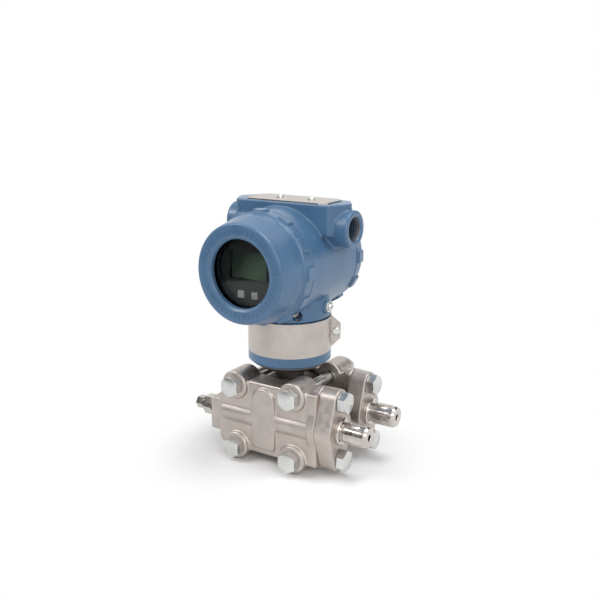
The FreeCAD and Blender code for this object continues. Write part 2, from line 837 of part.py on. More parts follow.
def name_band():
    """The bare metal band, split at its clamp, with an ear each side of the split."""
    inner = "(module_radius + band_play)"
    hoop = turned("band_hoop", [
        (inner, "band_base"), (f"{inner} + band_thick", "band_base"),
        (f"{inner} + band_thick", f"{MODULE_TOP} - moving_gap"),
        (inner, f"{MODULE_TOP} - moving_gap"),
    ])
    split = box("band_split", ("0", "-band_ear_gap / 2", "band_base - 1"),
                ("band_ear_reach + 1", "band_ear_gap / 2", "neck_top + 1"))
    ears = []
    for number, start in enumerate(("band_ear_gap / 2", "-band_ear_gap / 2 - band_thick"), 1):
        ears.append(prism(f"band_ear_{number}", "XZ_Plane", [
            (f"{inner} + band_thick / 2", "band_base + 1"),
            ("band_ear_reach", "band_screw_height - band_ear_tip"),
            ("band_ear_reach", "band_screw_height + band_ear_tip"),
            (f"{inner} + band_thick / 2", f"{MODULE_TOP} - moving_gap - 0.5"),
        ], start, "band_thick"))
    hoop_and_ears = fuse("band_blank", [hoop] + ears)
    hole = cylinder("band_hole", "band_screw_radius + 0.1", "4 * band_thick + band_ear_gap",
                    "band_screw_reach", "-2 * band_thick - band_ear_gap / 2",
                    "band_screw_height", "Y")
    band = cut("name_band", hoop_and_ears, [split, hole])
    return turn_to(finish("name_band", band), "band_angle")


def turn_to(item, angle):
    """Turn a finished sub-part about its own Z axis to an angle of the sheet."""
    item.Placement = FreeCAD.Placement(V(), FreeCAD.Rotation(V(0, 0, 1), size(angle)))
    item.setExpression("Placement.Rotation.Angle", formula(angle) + " * 1 deg")
    return item


def band_fasteners():
    """The screw through both ears and its nut."""
    side = "(band_ear_gap / 2 + band_thick)"
    screw = turned("band_screw_body", [
        ("0", f"-{side} - band_screw_head_height"),
        ("band_screw_head - 0.8", f"-{side} - band_screw_head_height"),
        ("band_screw_head", f"-{side} - band_screw_head_height + 0.8"),
        ("band_screw_head", f"-{side}"), ("band_screw_radius", f"-{side}"),
        ("band_screw_radius", f"{side} + band_nut_height + 1"),
        ("0", f"{side} + band_nut_height + 1"),
    ], "Y")
    place(screw, "band_screw_reach", "0", "band_screw_height")
    turn_to(finish("band_screw", wrapped("band_screw", screw)), "band_angle")
    blank = prism("band_nut_blank", "XZ_Plane", hexagon("band_nut_across"),
                  f"-{side} - band_nut_height", "band_nut_height")
    hole = cylinder("band_nut_hole", "band_screw_radius", "band_nut_height + 2", "0",
                    f"{side} - 1", "0", "Y")
    nut = cut("band_nut_cut", blank, [hole])
    place(nut, "band_screw_reach", "0", "band_screw_height")
    turn_to(finish("band_nut", wrapped("band_nut", nut)), "band_angle")


# ---------------------------------------------------------------- housing

def housing_blank():
    """The outside of the casting: barrel, neck, top block, conduit bosses and ground boss."""
    barrel = cylinder("barrel", "barrel_radius", "2 * seam", "0", "-seam", "barrel_height", "Y")
    neck = turned("housing_neck", [
        ("0", "neck_top"), ("housing_neck_radius - 1", "neck_top"),
        ("housing_neck_radius", "neck_top + 1"), ("housing_neck_radius", "barrel_height - 15"),
        ("0", "barrel_height - 15"),
    ])
    block = prism("top_block", "XY_Plane", [
        ("-block_flat_half", "-block_front"), ("block_flat_half", "-block_front"),
        ("block_half", "block_side_front"), ("block_half", "block_side_back"),
        ("block_flat_half", "block_back"), ("-block_flat_half", "block_back"),
        ("-block_half", "block_side_back"), ("-block_half", "block_side_front"),
    ], "block_base", "block_top - block_base")
    round_edges(block, "edge_round", lambda edge: edge.BoundBox.ZLength > 1)
    conduits = turned("conduit_bosses", [
        ("0", "-conduit_reach"), ("conduit_radius - 1", "-conduit_reach"),
        ("conduit_radius", "-conduit_reach + 1"), ("conduit_radius", "conduit_reach - 1"),
        ("conduit_radius - 1", "conduit_reach"), ("0", "conduit_reach"),
    ], "X")
    place(conduits, "0", "conduit_back", "conduit_height")
    ground = cylinder("ground_boss", "ground_boss_radius", "ground_boss_reach - 30", "30", "0",
                      "ground_height", "X")
    rib = box("ground_rib", ("30", "-rib_half", "ground_height"),
              ("ground_boss_reach - 0.5", "rib_half", "barrel_height - 10"))
    return fuse("housing_blank", [barrel, neck, block, conduits, ground, rib])


def rear_compartment():
    """The rear hollow, which goes round the socket of the neck."""
    room = cylinder("rear_room", "cavity_radius", "seam - rear_floor + 1", "0", "rear_floor",
                    "barrel_height", "Y")
    post = cylinder("socket_post", "stem_radius + socket_wall", "stem_top + socket_roof - neck_top",
                    "0", "0", "neck_top")
    return cut("rear_compartment", room, [post])


def lock_hole():
    """The stepped hole of the rotation lock screw, along +X before it is turned."""
    return turned("lock_hole", [
        ("0", "stem_radius"), ("lock_screw_radius", "stem_radius"),
        ("lock_screw_radius", "housing_neck_radius - lock_hole_depth"),
        ("lock_hole_radius", "housing_neck_radius - lock_hole_depth"),
        ("lock_hole_radius", "housing_neck_radius + 2"), ("0", "housing_neck_radius + 2"),
    ], "X")


def housing():
    """The painted casting with its two compartments, conduit entries and neck socket."""
    cuts = [
        cylinder("front_room", "cavity_radius", "seam - front_floor + 1", "0", "-seam - 1",
                 "barrel_height", "Y"),
        rear_compartment(),
        cylinder("socket", "stem_radius + turn_gap", f"{SOCKET_TOP} - neck_top + 1", "0", "0",
                 "neck_top - 1"),
        cylinder("cable_shaft_hole", "cable_shaft", "cable_way_height + cable_shaft - stem_top",
                 "0", "0", "stem_top"),
        cylinder("cable_tunnel", "cable_way", "front_floor + 1", "0",
                 "-front_floor - 1", "cable_way_height", "Y"),
        cylinder("ground_tap", "ground_screw_radius", "ground_screw_depth + 1",
                 "ground_boss_reach - ground_screw_depth", "0", "ground_height", "X"),
    ]
    cuts.append(place(turn_to(lock_hole(), "lock_angle"), z="lock_height"))
    for number, side in enumerate(("-1", "1"), 1):
        cuts.append(conduit_entry(f"conduit_entry_{number}", side))
        cuts.append(cylinder(f"plate_tap_{number}", "plate_screw_radius", "plate_screw_depth + 1",
                             f"{side} * plate_screw_half", "plate_screw_back",
                             "block_top - plate_screw_depth"))
        cuts.append(cylinder(f"key_well_{number}", "key_well_radius", "key_well_depth + 1",
                             f"{side} * key_half", "key_back", "block_top - key_well_depth"))
        cuts.append(cylinder(f"board_tap_{number}", "board_screw_radius", "board_screw_depth + 1",
                             f"{side} * board_screw_circle", "-front_floor - 1",
                             "barrel_height", "Y"))
        cuts.append(cylinder(f"block_tap_{number}", "board_screw_radius", "board_screw_depth + 1",
                             f"{side} * block_screw_half", "rear_floor - board_screw_depth",
                             "barrel_height", "Y"))
    return finish("housing", cut("housing", housing_blank(), cuts))


def conduit_entry(name, side):
    """One conduit entry: its chamfered mouth, tapped length and the wire way to the rear hollow."""
    entry = turned(name, [
        ("0", f"{side} * (conduit_reach + 1)"),
        ("conduit_bore + mouth_chamfer + 1", f"{side} * (conduit_reach + 1)"),
        ("conduit_bore", f"{side} * (conduit_reach - mouth_chamfer)"),
        ("conduit_bore", f"{side} * (conduit_reach - conduit_depth)"),
        ("wire_way_radius", f"{side} * (conduit_reach - conduit_depth)"),
        ("wire_way_radius", f"{side} * wire_way_end"),
        ("0", f"{side} * wire_way_end"),
    ], "X")
    return place(entry, "0", "conduit_back", "conduit_height")


def lock_screw():
    screw = turned("rotation_lock_screw", [
        ("0", "stem_radius + turn_gap + 0.2"),
        ("lock_screw_radius - 1", "stem_radius + turn_gap + 0.2"),
        ("lock_screw_radius", "stem_radius + 2"),
        ("lock_screw_radius", "housing_neck_radius - lock_hole_depth - 1"),
        ("1.3", "housing_neck_radius - lock_hole_depth - 1"),
        ("1.3", "housing_neck_radius - lock_hole_depth - 4"),
        ("0", "housing_neck_radius - lock_hole_depth - 4"),
    ], "X")
    turn_to(finish("rotation_lock_screw", screw, z="lock_height"), "lock_angle")


def ground_terminal():
    """The outside earth terminal: a cup washer under a round-headed screw."""
    cup = turned("ground_cup", [
        ("ground_screw_radius", "0"), ("ground_cup_radius", "0"),
        ("ground_cup_radius", "ground_cup_thick"), ("ground_screw_radius", "ground_cup_thick"),
    ], "X")
    finish("ground_cup", cup, x="ground_boss_reach", z="ground_height")
    screw = turned("ground_screw_body", [
        ("0", "-ground_cup_thick - ground_screw_depth + 1"),
        ("ground_screw_radius", "-ground_cup_thick - ground_screw_depth + 1"),
        ("ground_screw_radius", "0"), ("ground_head_radius", "0"),
        ("ground_head_radius", "ground_head_height - 1"),
        ("ground_head_radius - 1", "ground_head_height"), ("0", "ground_head_height"),
    ], "X")
    slot = box("ground_slot", ("ground_head_height - 1", "-ground_head_radius", "-0.5"),
               ("ground_head_height + 1", "ground_head_radius", "0.5"))
    finish("ground_screw", cut("ground_screw", screw, [slot]),
           x="ground_boss_reach + ground_cup_thick", z="ground_height")


def top_plate():
    """The bare plate that covers the two adjustment buttons, with its two screws."""
    plate = prism("top_plate_blank", "XY_Plane", [
        ("-plate_half + plate_corner", "-plate_front"), ("plate_half - plate_corner", "-plate_front"),
        ("plate_half", "-plate_front + plate_corner"), ("plate_half", "plate_back - plate_corner"),
        ("plate_half - plate_corner", "plate_back"), ("-plate_half + plate_corner", "plate_back"),
        ("-plate_half", "plate_back - plate_corner"), ("-plate_half", "-plate_front + plate_corner"),
    ], "0", "plate_thick")
    holes = [cylinder(f"plate_hole_{number}", "plate_screw_radius + 0.2", "plate_thick + 2",
                      f"{side} * plate_screw_half", "plate_screw_back", "-1")
             for number, side in enumerate(("-1", "1"), 1)]
    finish("top_plate", cut("top_plate", plate, holes), z="block_top")
    screw = turned("plate_screw_body", [
        ("0", "-plate_thick - plate_screw_depth + 1"),
        ("plate_screw_radius", "-plate_thick - plate_screw_depth + 1"),
        ("plate_screw_radius", "0"), ("plate_screw_head", "0"),
        ("plate_screw_head", "plate_screw_head_height - 0.6"),
        ("plate_screw_head - 0.6", "plate_screw_head_height"), ("0", "plate_screw_head_height"),
    ])
    slot = box("plate_slot", ("-plate_screw_head", "-0.5", "plate_screw_head_height - 0.9"),
               ("plate_screw_head", "0.5", "plate_screw_head_height + 1"))
    piece = cut("plate_screw", screw, [slot])
    spots = [(f"{side} * plate_screw_half", "plate_screw_back", "block_top + plate_thick")
             for side in ("-1", "1")]
    finish("plate_screws", copies("plate_screws", piece, spots))


def adjustment_keys():
    """The zero and span buttons, free to go down by their travel."""
    for label, side in (("zero_button", "-1"), ("span_button", "1")):
        key = turned(label, [
            ("0", "-key_height"), ("key_well_radius - moving_gap", "-key_height"),
            ("key_well_radius - moving_gap", "-moving_gap - 1.5"),
            ("key_well_radius - 1.2", "-moving_gap - 1.5"),
            ("key_well_radius - 1.2", "-moving_gap"), ("0", "-moving_gap"),
        ])
        finish(label, key, f"{side} * key_half", "key_back", "block_top")


# ---------------------------------------------------------------- covers

def lugs(body, back):
    """The ring of raised lugs that a bar bears on to unscrew a cover."""
    pad(body, "XZ_Plane", rectangle("-lug_half", "barrel_radius - 4", "lug_half",
                                    "barrel_radius + lug_rise"), back, "lug_length")
    lug = body.Tip
    pattern = body.newObject("PartDesign::PolarPattern", body.Name + "_pattern")
    pattern.Originals = [lug]
    axis = next(item for item in body.Origin.OriginFeatures if item.Role == "Y_Axis")
    pattern.Axis = (axis, [""])
    pattern.Angle = 360
    pattern.setExpression("Occurrences", formula("lug_count"))
    body.Tip = pattern


def seal_groove():
    """The cover's groove for its seal, as (radius, distance from the middle plane) corners."""
    floor = "(cavity_radius - 2 * cover_seal_section - cover_seal_squash)"
    near = "(seam - cover_seal_back - cover_seal_section - 0.1)"
    far = "(seam - cover_seal_back + cover_seal_section + 0.1)"
    return floor, near, far


def cover_seal(label, side):
    ring = torus(label, "cavity_radius - cover_seal_section - cover_seal_squash / 2 + 0.025",
                 "cover_seal_section - 0.075", axis="Y")
    return finish(label, ring, y=f"{side} * (seam - cover_seal_back)", z="barrel_height")


def front_cover():
    """The window cover: nose, lug ring, spigot with seal groove, and the window's seat."""
    spigot = "(cavity_radius - moving_gap)"
    floor, near, far = seal_groove()
    body = turned("front_cover", [
        ("window_radius", "-front_reach + 1"),
        ("window_radius + 1", "-front_reach"),
        ("cover_face_radius - 1", "-front_reach"),
        ("cover_face_radius + 0.6", "-front_reach + 0.7"),
        ("cover_face_radius + 1.6", "-front_reach + 2"),
        ("cover_nose_radius", "-front_reach + cover_nose_depth"),
        ("barrel_radius - lug_step", "-seam - lug_ring_length"),
        ("barrel_radius", "-seam - lug_ring_length + lug_step"),
        ("barrel_radius", "-seam - moving_gap"),
        (spigot, "-seam - moving_gap"),
        (spigot, f"-{far}"), (floor, f"-{far}"), (floor, f"-{near}"), (spigot, f"-{near}"),
        (spigot, "-seam + cover_spigot"),
        ("cover_inner", "-seam + cover_spigot"),
        ("cover_inner", f"-{GLASS_BACK} + retainer_thick + gasket_thick"),
        ("glass_radius + 0.2", f"-{GLASS_BACK} + retainer_thick + gasket_thick"),
        ("glass_radius + 0.2", "-glass_front - gasket_thick"),
        ("window_radius", "-glass_front - gasket_thick"),
    ], "Y")
    lugs(body, "seam + lug_margin")
    return finish("front_cover", body, z="barrel_height")


def window():
    """The window glass between its gasket and its retaining ring."""
    glass = turned("window_glass", [
        ("0", "-glass_front"), ("glass_radius", "-glass_front"),
        ("glass_radius", f"-{GLASS_BACK}"), ("0", f"-{GLASS_BACK}"),
    ], "Y")
    finish("window_glass", glass, z="barrel_height")
    gasket = turned("window_gasket", [
        ("window_radius + 0.8", "-glass_front - gasket_thick"),
        ("glass_radius", "-glass_front - gasket_thick"),
        ("glass_radius", "-glass_front"), ("window_radius + 0.8", "-glass_front"),
    ], "Y")
    finish("window_gasket", gasket, z="barrel_height")
    ring = turned("window_retainer", [
        ("window_radius + 0.5", f"-{GLASS_BACK}"), ("glass_radius + 0.2", f"-{GLASS_BACK}"),
        ("glass_radius + 0.2", f"-{GLASS_BACK} + retainer_thick"),
        ("window_radius + 0.5", f"-{GLASS_BACK} + retainer_thick"),
    ], "Y")
    finish("window_retainer", ring, z="barrel_height")


def rear_cover():
    """The blind cover of the terminal compartment, gently crowned behind."""
    spigot = "(cavity_radius - moving_gap)"
    floor, near, far = seal_groove()
    body = turned("rear_cover", [
        ("0", "rear_reach"),
        ("barrel_radius * 0.55", "rear_reach - 0.8"),
        ("barrel_radius - 7", "rear_reach - 2.4"),
        ("barrel_radius - 3.5", "rear_reach - 4"),
        ("barrel_radius - lug_step", "seam + lug_ring_length"),
        ("barrel_radius", "seam + lug_ring_length - lug_step"),
        ("barrel_radius", "seam + moving_gap"),
        (spigot, "seam + moving_gap"),
        (spigot, far), (floor, far), (floor, near), (spigot, near),
        (spigot, "seam - cover_spigot"),
        ("cover_inner", "seam - cover_spigot"),
        ("cover_inner", "rear_reach - rear_wall - 4"),
        ("cover_inner - 3", "rear_reach - rear_wall - 2"),
        ("0", "rear_reach - rear_wall - 1"),
    ], "Y")
    lugs(body, "-seam - lug_margin - lug_length")
    return finish("rear_cover", body, z="barrel_height")


# ---------------------------------------------------------------- inside the housing

def button_holes(name, grow, near, far):
    """The two square shapes of the display buttons, from near to far along -Y."""
    return [
        box(f"{name}_{number}",
            (f"{side} * button_apart - button_half - {grow}", f"-({far})",
             f"-button_drop - button_half - {grow}"),
            (f"{side} * button_apart + button_half + {grow}", f"-({near})",
             f"-button_drop + button_half + {grow}"))
        for number, side in enumerate(("-1", "1"), 1)
    ]


def display_bezel():
    """The display's cap: a round face with the display opening and the two button holes."""
    cap = turned("bezel_cap", [
        ("0", "-display_front"), ("display_radius - 1", "-display_front"),
        ("display_radius", "-display_front + 1"), ("display_radius", "-electronics_front"),
        ("display_radius - display_wall", "-electronics_front"),
        ("display_radius - display_wall", f"-{LCD_FRONT}"), ("0", f"-{LCD_FRONT}"),
    ], "Y")
    opening = box("lcd_opening", ("-lcd_half", "-display_front - 1", "display_above - lcd_low"),
                  ("lcd_half", f"-{LCD_FRONT} + 1", "display_above + lcd_high"))
    holes = button_holes("button_hole", "moving_gap", f"{LCD_FRONT} - 1", "display_front + 1")
    return finish("display_bezel", cut("display_bezel", cap, [opening] + holes), z="barrel_height")


def display_stack():
    """The display glass, its board, and the posts that carry them on the electronics."""
    glass = box("display_glass_plate",
                ("-lcd_half - lcd_margin", f"-{LCD_FRONT}", "display_above - lcd_low - lcd_margin"),
                ("lcd_half + lcd_margin", f"-{LCD_BACK}", "display_above + lcd_high + lcd_margin"))
    finish("display_glass", wrapped("display_glass", glass), z="barrel_height")
    board = cylinder("display_board", "display_radius - display_wall - 0.1", "display_board_thick",
                     axis="Y")
    finish("display_board", board, y=f"-{LCD_BACK}", z="barrel_height")
    post = cylinder("display_post", "post_radius",
                    f"{LCD_BACK} - display_board_thick - electronics_front", axis="Y")
    start = f"-{LCD_BACK} + display_board_thick"
    spots = [("-post_circle", start, "barrel_height"), ("post_circle", start, "barrel_height"),
             ("0", start, "barrel_height + post_circle"), ("0", start, "barrel_height - post_circle")]
    finish("display_posts", copies("display_posts", post, spots))


def display_buttons():
    """The two square buttons under the display, each with a flange that the cap holds back."""
    for label, side in (("display_button_left", "-1"), ("display_button_right", "1")):
        cap = box(label + "_cap",
                  ("-button_half", "-display_front - button_rise", "-button_half"),
                  ("button_half", f"-{LCD_FRONT} + moving_gap", "button_half"))
        flange = box(label + "_flange",
                     ("-button_half - button_lip", f"-{LCD_FRONT} + moving_gap",
                      "-button_half - button_lip"),
                     ("button_half + button_lip", f"-{LCD_FRONT} + moving_gap + button_flange",
                      "button_half + button_lip"))
        finish(label, fuse(label, [cap, flange]), f"{side} * button_apart",
               z="barrel_height - button_drop")


def electronics_module():
    """The potted electronics can on the floor of the front compartment, with its two screws."""
    can = turned("electronics_can", [
        ("0", "-electronics_front"), ("electronics_radius - 1", "-electronics_front"),
        ("electronics_radius", "-electronics_front + 1"), ("electronics_radius", "-front_floor"),
        ("0", "-front_floor"),
    ], "Y")
    holes = [cylinder(f"can_hole_{number}", "board_screw_radius + 0.1",
                      "electronics_front - front_floor + 2", f"{side} * board_screw_circle",
                      "-electronics_front - 1", "0", "Y")
             for number, side in enumerate(("-1", "1"), 1)]
    holes.append(cylinder("can_cable_hole", "cable_radius + 0.3", "5", "0", "-front_floor - 4",
                          "cable_way_height - barrel_height", "Y"))
    finish("electronics_module", cut("electronics_module", can, holes), z="barrel_height")
    length = "electronics_front - front_floor + board_screw_depth - 0.5"
    piece = small_screw("electronics_screw", length)
    spots = [(f"{side} * board_screw_circle", "-electronics_front", "barrel_height")
             for side in ("-1", "1")]
    finish("electronics_screws", copies("electronics_screws", piece, spots))


def small_screw(name, length):
    """A round-headed screw that points along +Y, its seat at the body's origin."""
    return turned(name, [
        ("0", "-board_screw_head_height"), ("board_screw_head - 0.6", "-board_screw_head_height"),
        ("board_screw_head", "-board_screw_head_height + 0.6"), ("board_screw_head", "0"),
        ("board_screw_radius", "0"), ("board_screw_radius", length), ("0", length),
    ], "Y")


def terminal_block():
    """The block in the rear compartment with its three terminals and two fixing screws."""
    block = box("block_base_box", ("-block_width / 2", "rear_floor", "-block_tall / 2"),
                ("block_width / 2", "rear_floor + block_deep", "block_tall / 2"))
    holes = [cylinder(f"block_hole_{number}", "board_screw_radius + 0.1", "block_deep + 2",
                      f"{side} * block_screw_half", "rear_floor - 1", "0", "Y")
             for number, side in enumerate(("-1", "1"), 1)]
    taps = [cylinder(f"terminal_tap_{number}", "terminal_radius", "terminal_depth + 1",
                     f"{step} * terminal_apart", "rear_floor + block_deep - terminal_depth", "0", "Y")
            for number, step in enumerate(("-1", "0", "1"), 1)]
    finish("terminal_block", cut("terminal_block", block, holes + taps), z="barrel_height")
    face = "rear_floor + block_deep"
    terminal = turned("terminal_screw", [
        ("0", "-terminal_depth + 0.5"), ("terminal_radius", "-terminal_depth + 0.5"),
        ("terminal_radius", "0"), ("terminal_head", "0"),
        ("terminal_head", "terminal_head_height - 0.8"),
        ("terminal_head - 0.8", "terminal_head_height"), ("0", "terminal_head_height"),
    ], "Y")
    spots = [(f"{step} * terminal_apart", face, "barrel_height") for step in ("-1", "0", "1")]
    finish("terminal_screws", copies("terminal_screws", terminal, spots))
    fixing = turned("block_screw", [
        ("0", "-block_deep - board_screw_depth + 0.5"),
        ("board_screw_radius", "-block_deep - board_screw_depth + 0.5"),
        ("board_screw_radius", "0"), ("board_screw_head", "0"),
        ("board_screw_head", "board_screw_head_height - 0.6"),
        ("board_screw_head - 0.6", "board_screw_head_height"), ("0", "board_screw_head_height"),
    ], "Y")
    spots = [(f"{side} * block_screw_half", face, "barrel_height") for side in ("-1", "1")]
    finish("block_screws", copies("block_screws", fixing, spots))


def sensor_cable():
    """The round cable from the module's plug, up the neck axis and forward to the electronics."""
    low = V(0, 0, size("board_height + plug_height + moving_gap"))
    bend = size("cable_bend")
    high = size("cable_way_height")
    start_of_bend = V(0, 0, high - bend)
    end_of_bend = V(0, -bend, high)
    middle = V(0, -bend + bend * 0.5 ** 0.5, high - bend + bend * 0.5 ** 0.5)
    far = V(0, -size("front_floor + 4"), high)
    path = Part.Wire([
        Part.LineSegment(low, start_of_bend).toShape(),
        Part.Arc(start_of_bend, middle, end_of_bend).toShape(),
        Part.LineSegment(end_of_bend, far).toShape(),
    ])
    section = Part.Wire([Part.Circle(low, V(0, 0, 1), size("cable_radius")).toShape()])
    cable = DOC.addObject("Part::Feature", "sensor_cable")
    cable.Shape = path.makePipeShell([section], True, False)
    return finish("sensor_cable", cable)


# ---------------------------------------------------------------- whole model

def build():
    fill_sheet()
    for maker, name in (
        (front_flange, "flange"), (adapter, "adapter"), (adapter_seal, "adapter_seal"),
        (connector, "connector"), (capsule_seal, "capsule_seal"), (diaphragm, "diaphragm"),
        (vent_body, "vent_body"), (vent_ball, "vent_ball"), (vent_stem, "vent_stem"),
    ):
        mirrored("rear_" + name, maker())
    for maker in (
        sensor_capsule, flange_bolts, adapter_bolts, sensor_neck, sensor_module, sensor_board,
        neck_seal, name_band, band_fasteners, housing, lock_screw, ground_terminal, top_plate,
        adjustment_keys, front_cover, window, rear_cover, display_bezel, display_stack,
        display_buttons, electronics_module, terminal_block, sensor_cable,
    ):
        maker()
    cover_seal("front_cover_seal", "-1")
    cover_seal("rear_cover_seal", "1")
    DOC.recompute()


def check():
    """Stop where an object failed or a sub-part has no sound solid."""
    for item in DOC.Objects:
        if "Invalid" in item.State or "Error" in item.State:
            raise RuntimeError(f"{item.Label} failed: {item.State}")
    for item in SUB_PARTS:
        if item.Shape.isNull() or not item.Shape.isValid() or not item.Shape.Solids:
            raise RuntimeError(f"{item.Label} has no valid solid")


def export():
    os.makedirs("parts", exist_ok=True)
    for item in SUB_PARTS:
        item.Shape.exportStep(f"parts/{item.Label}.step")
        print(f"{item.Label}: {len(item.Shape.Solids)} solid(s), {item.Shape.Volume:.0f} mm3")


build()
check()
export()
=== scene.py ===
"""Differential pressure transmitter: finishes, castings, fasteners, threads and studio.

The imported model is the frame. Castings are softened copies of their nodes and the connectors are
turned. Fasteners, ticks and threads are repeated or swept by Geometry Nodes. Every other node keeps
its own mesh under a procedural finish.
"""

import json
import math

import bmesh
import bpy
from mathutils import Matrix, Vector


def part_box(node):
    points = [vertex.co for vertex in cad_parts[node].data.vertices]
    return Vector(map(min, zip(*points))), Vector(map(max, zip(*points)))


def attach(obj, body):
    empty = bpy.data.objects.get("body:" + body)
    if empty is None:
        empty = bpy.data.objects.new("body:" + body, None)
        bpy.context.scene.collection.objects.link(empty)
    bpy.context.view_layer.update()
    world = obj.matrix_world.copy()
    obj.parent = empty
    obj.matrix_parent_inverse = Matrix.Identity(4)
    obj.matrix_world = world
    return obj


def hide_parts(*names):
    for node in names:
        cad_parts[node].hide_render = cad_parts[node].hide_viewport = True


bl_info = {
    "name": "Pressure transmitter",
    "version": (1, 0, 0),
    "blender": (4, 5, 0),
    "location": "View3D > Sidebar > Transmitter",
    "description": "Finishes, castings, fasteners and studio of a differential pressure transmitter",
    "category": "Object",
}

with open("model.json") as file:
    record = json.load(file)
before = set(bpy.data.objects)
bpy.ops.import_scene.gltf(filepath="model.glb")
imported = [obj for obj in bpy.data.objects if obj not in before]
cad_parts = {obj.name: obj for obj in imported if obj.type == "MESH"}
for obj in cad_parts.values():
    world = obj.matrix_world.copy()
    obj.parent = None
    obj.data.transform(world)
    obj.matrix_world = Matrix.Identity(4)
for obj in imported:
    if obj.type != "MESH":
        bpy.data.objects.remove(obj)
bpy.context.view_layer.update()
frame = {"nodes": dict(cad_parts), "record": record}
NODES = frame["nodes"]
MM = 0.001
QUARTER = math.pi / 2
TO_X = (0, QUARTER, 0)
TO_FRONT = (QUARTER, 0, 0)
TO_BACK = (-QUARTER, 0, 0)


# ---------------------------------------------------------------- places read from the frame

def node_box(node):
    """The low and the high corner of a node's box."""
    low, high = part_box(node)
    return Vector(low), Vector(high)


def node_size(node):
    low, high = node_box(node)
    return high - low


def node_centre(node):
    low, high = node_box(node)
    return (low + high) / 2


GASKET_OVERLAP = 4 * MM  # how far the window's gasket reaches out behind the edge of the opening
COVER_CENTRE = node_centre("front_cover_seal")
COVER_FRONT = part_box("front_cover")[0][1]
WINDOW_RADIUS = node_size("window_gasket").x / 2 - GASKET_OVERLAP
MODULE_CENTRE = node_centre("sensor_module")


# ---------------------------------------------------------------- sizes of the pieces made here

FACE_RADIUS = 41.5 * MM  # the flat of a cover's face ends here
DRAFT_RIM = 12 * MM  # from the window's edge out to where a cover has its full draft
DRAFT_DEPTH = 5 * MM  # depth behind the face at which the draft is fullest
DRAFT_RUN = 14 * MM  # from that depth back to where the draft has run out
SUNK_DEPTH = 4 * MM  # depth over which the sinking of the face fades out
BEVEL_SLOPE = 0.6  # depth of the window's bevel over its width
OPENING_PLAY = 1 * MM  # how far inside the opening its wall may lie and still get the bevel

TICK_RISE = 0.4 * MM  # from the sunk face to the top of a tick
TICK_WIDTH = 1.1 * MM
TICK_LENGTH = 3.2 * MM
TICK_ROOT = 0.7 * MM  # from the top of a tick down to its foot in the face
TICK_FLARE = 0.15 * MM  # a tick widens by this on every side over as much of its height

BOLT_ACROSS = 17 * MM
BOLT_SHANK = 5 * MM  # radius
BOLT_EDGE = 0.2 * MM  # rounding of the shank's edges, and how far the shank runs into the head
HEAD_WASHER = 0.475  # radius of the round face of a hexagon head over its width across flats
HEAD_LIFT = 0.4 * MM  # the hexagon starts this far above the round face under it

THREAD_CREST = 10 * MM  # radius of the connector's thread over its turns
THREAD_ROOT = 9.86 * MM  # and between them
CONDUIT_RIDGE = 0.55 * MM
CONDUIT_INSET = 1.2 * MM  # from the mouth of a conduit entry to its first turn
CONDUIT_RUNOUT = 1.5 * MM  # how much shorter than the bore the thread is


# ---------------------------------------------------------------- settings

class PaintSettings(bpy.types.PropertyGroup):
    colour: bpy.props.FloatVectorProperty(
        name="Paint colour", description="Main colour of the painted castings",
        default=(0.053, 0.125, 0.232), size=3, min=0, max=1, subtype="COLOR")
    light_colour: bpy.props.FloatVectorProperty(
        name="Light paint colour", description="Paler tone that clouds the paint",
        default=(0.066, 0.150, 0.265), size=3, min=0, max=1, subtype="COLOR")
    roughness: bpy.props.FloatProperty(
        name="Paint roughness", description="Roughness of the enamel", default=0.34, min=0, max=1)
    peel: bpy.props.FloatProperty(
        name="Orange peel", description="Depth of the fine waves in the enamel",
        default=0.00004, min=0, unit="LENGTH", precision=6)


class SteelSettings(bpy.types.PropertyGroup):
    cast_colour: bpy.props.FloatVectorProperty(
        name="Cast steel", description="Colour of the cast flanges and adapters",
        default=(0.56, 0.505, 0.47), size=3, min=0, max=1, subtype="COLOR")
    turned_colour: bpy.props.FloatVectorProperty(
        name="Turned steel", description="Colour of connectors, vents and neck",
        default=(0.62, 0.575, 0.54), size=3, min=0, max=1, subtype="COLOR")
    zinc_colour: bpy.props.FloatVectorProperty(
        name="Zinc plate", description="Colour of the bolts and nuts",
        default=(0.72, 0.73, 0.715), size=3, min=0, max=1, subtype="COLOR")
    sheet_colour: bpy.props.FloatVectorProperty(
        name="Sheet steel", description="Colour of the name band and the top plate",
        default=(0.555, 0.505, 0.475), size=3, min=0, max=1, subtype="COLOR")
    # a dark colour that paints the shade of the gap under the module and of the conduit bores
    capsule_shade_colour: bpy.props.FloatVectorProperty(
        name="Capsule steel", description="Colour of the capsule and the neck under the module",
        default=(0.15, 0.135, 0.125), size=3, min=0, max=1, subtype="COLOR")


class CastingSettings(bpy.types.PropertyGroup):
    voxel: bpy.props.FloatProperty(
        name="Casting grid", description="Grid on which a casting is rebuilt before softening",
        default=0.0008, min=0.0003, unit="LENGTH", precision=5)
    rounds: bpy.props.IntProperty(
        name="Softening rounds", description="Smoothing rounds that give the cast edges their radius",
        default=7, min=0)
    draft: bpy.props.FloatProperty(
        name="Cover draft", description="How much narrower a cover is at its face",
        default=0.0016, min=0, unit="LENGTH", precision=5)
    bevel: bpy.props.FloatProperty(
        name="Window bevel", description="Width of the bevel round the window's opening",
        default=0.003, min=0, unit="LENGTH", precision=5)
    kept: bpy.props.FloatProperty(
        name="Faces kept", description="Share of the faces that is kept after softening",
        default=0.4, min=0.05, max=1)


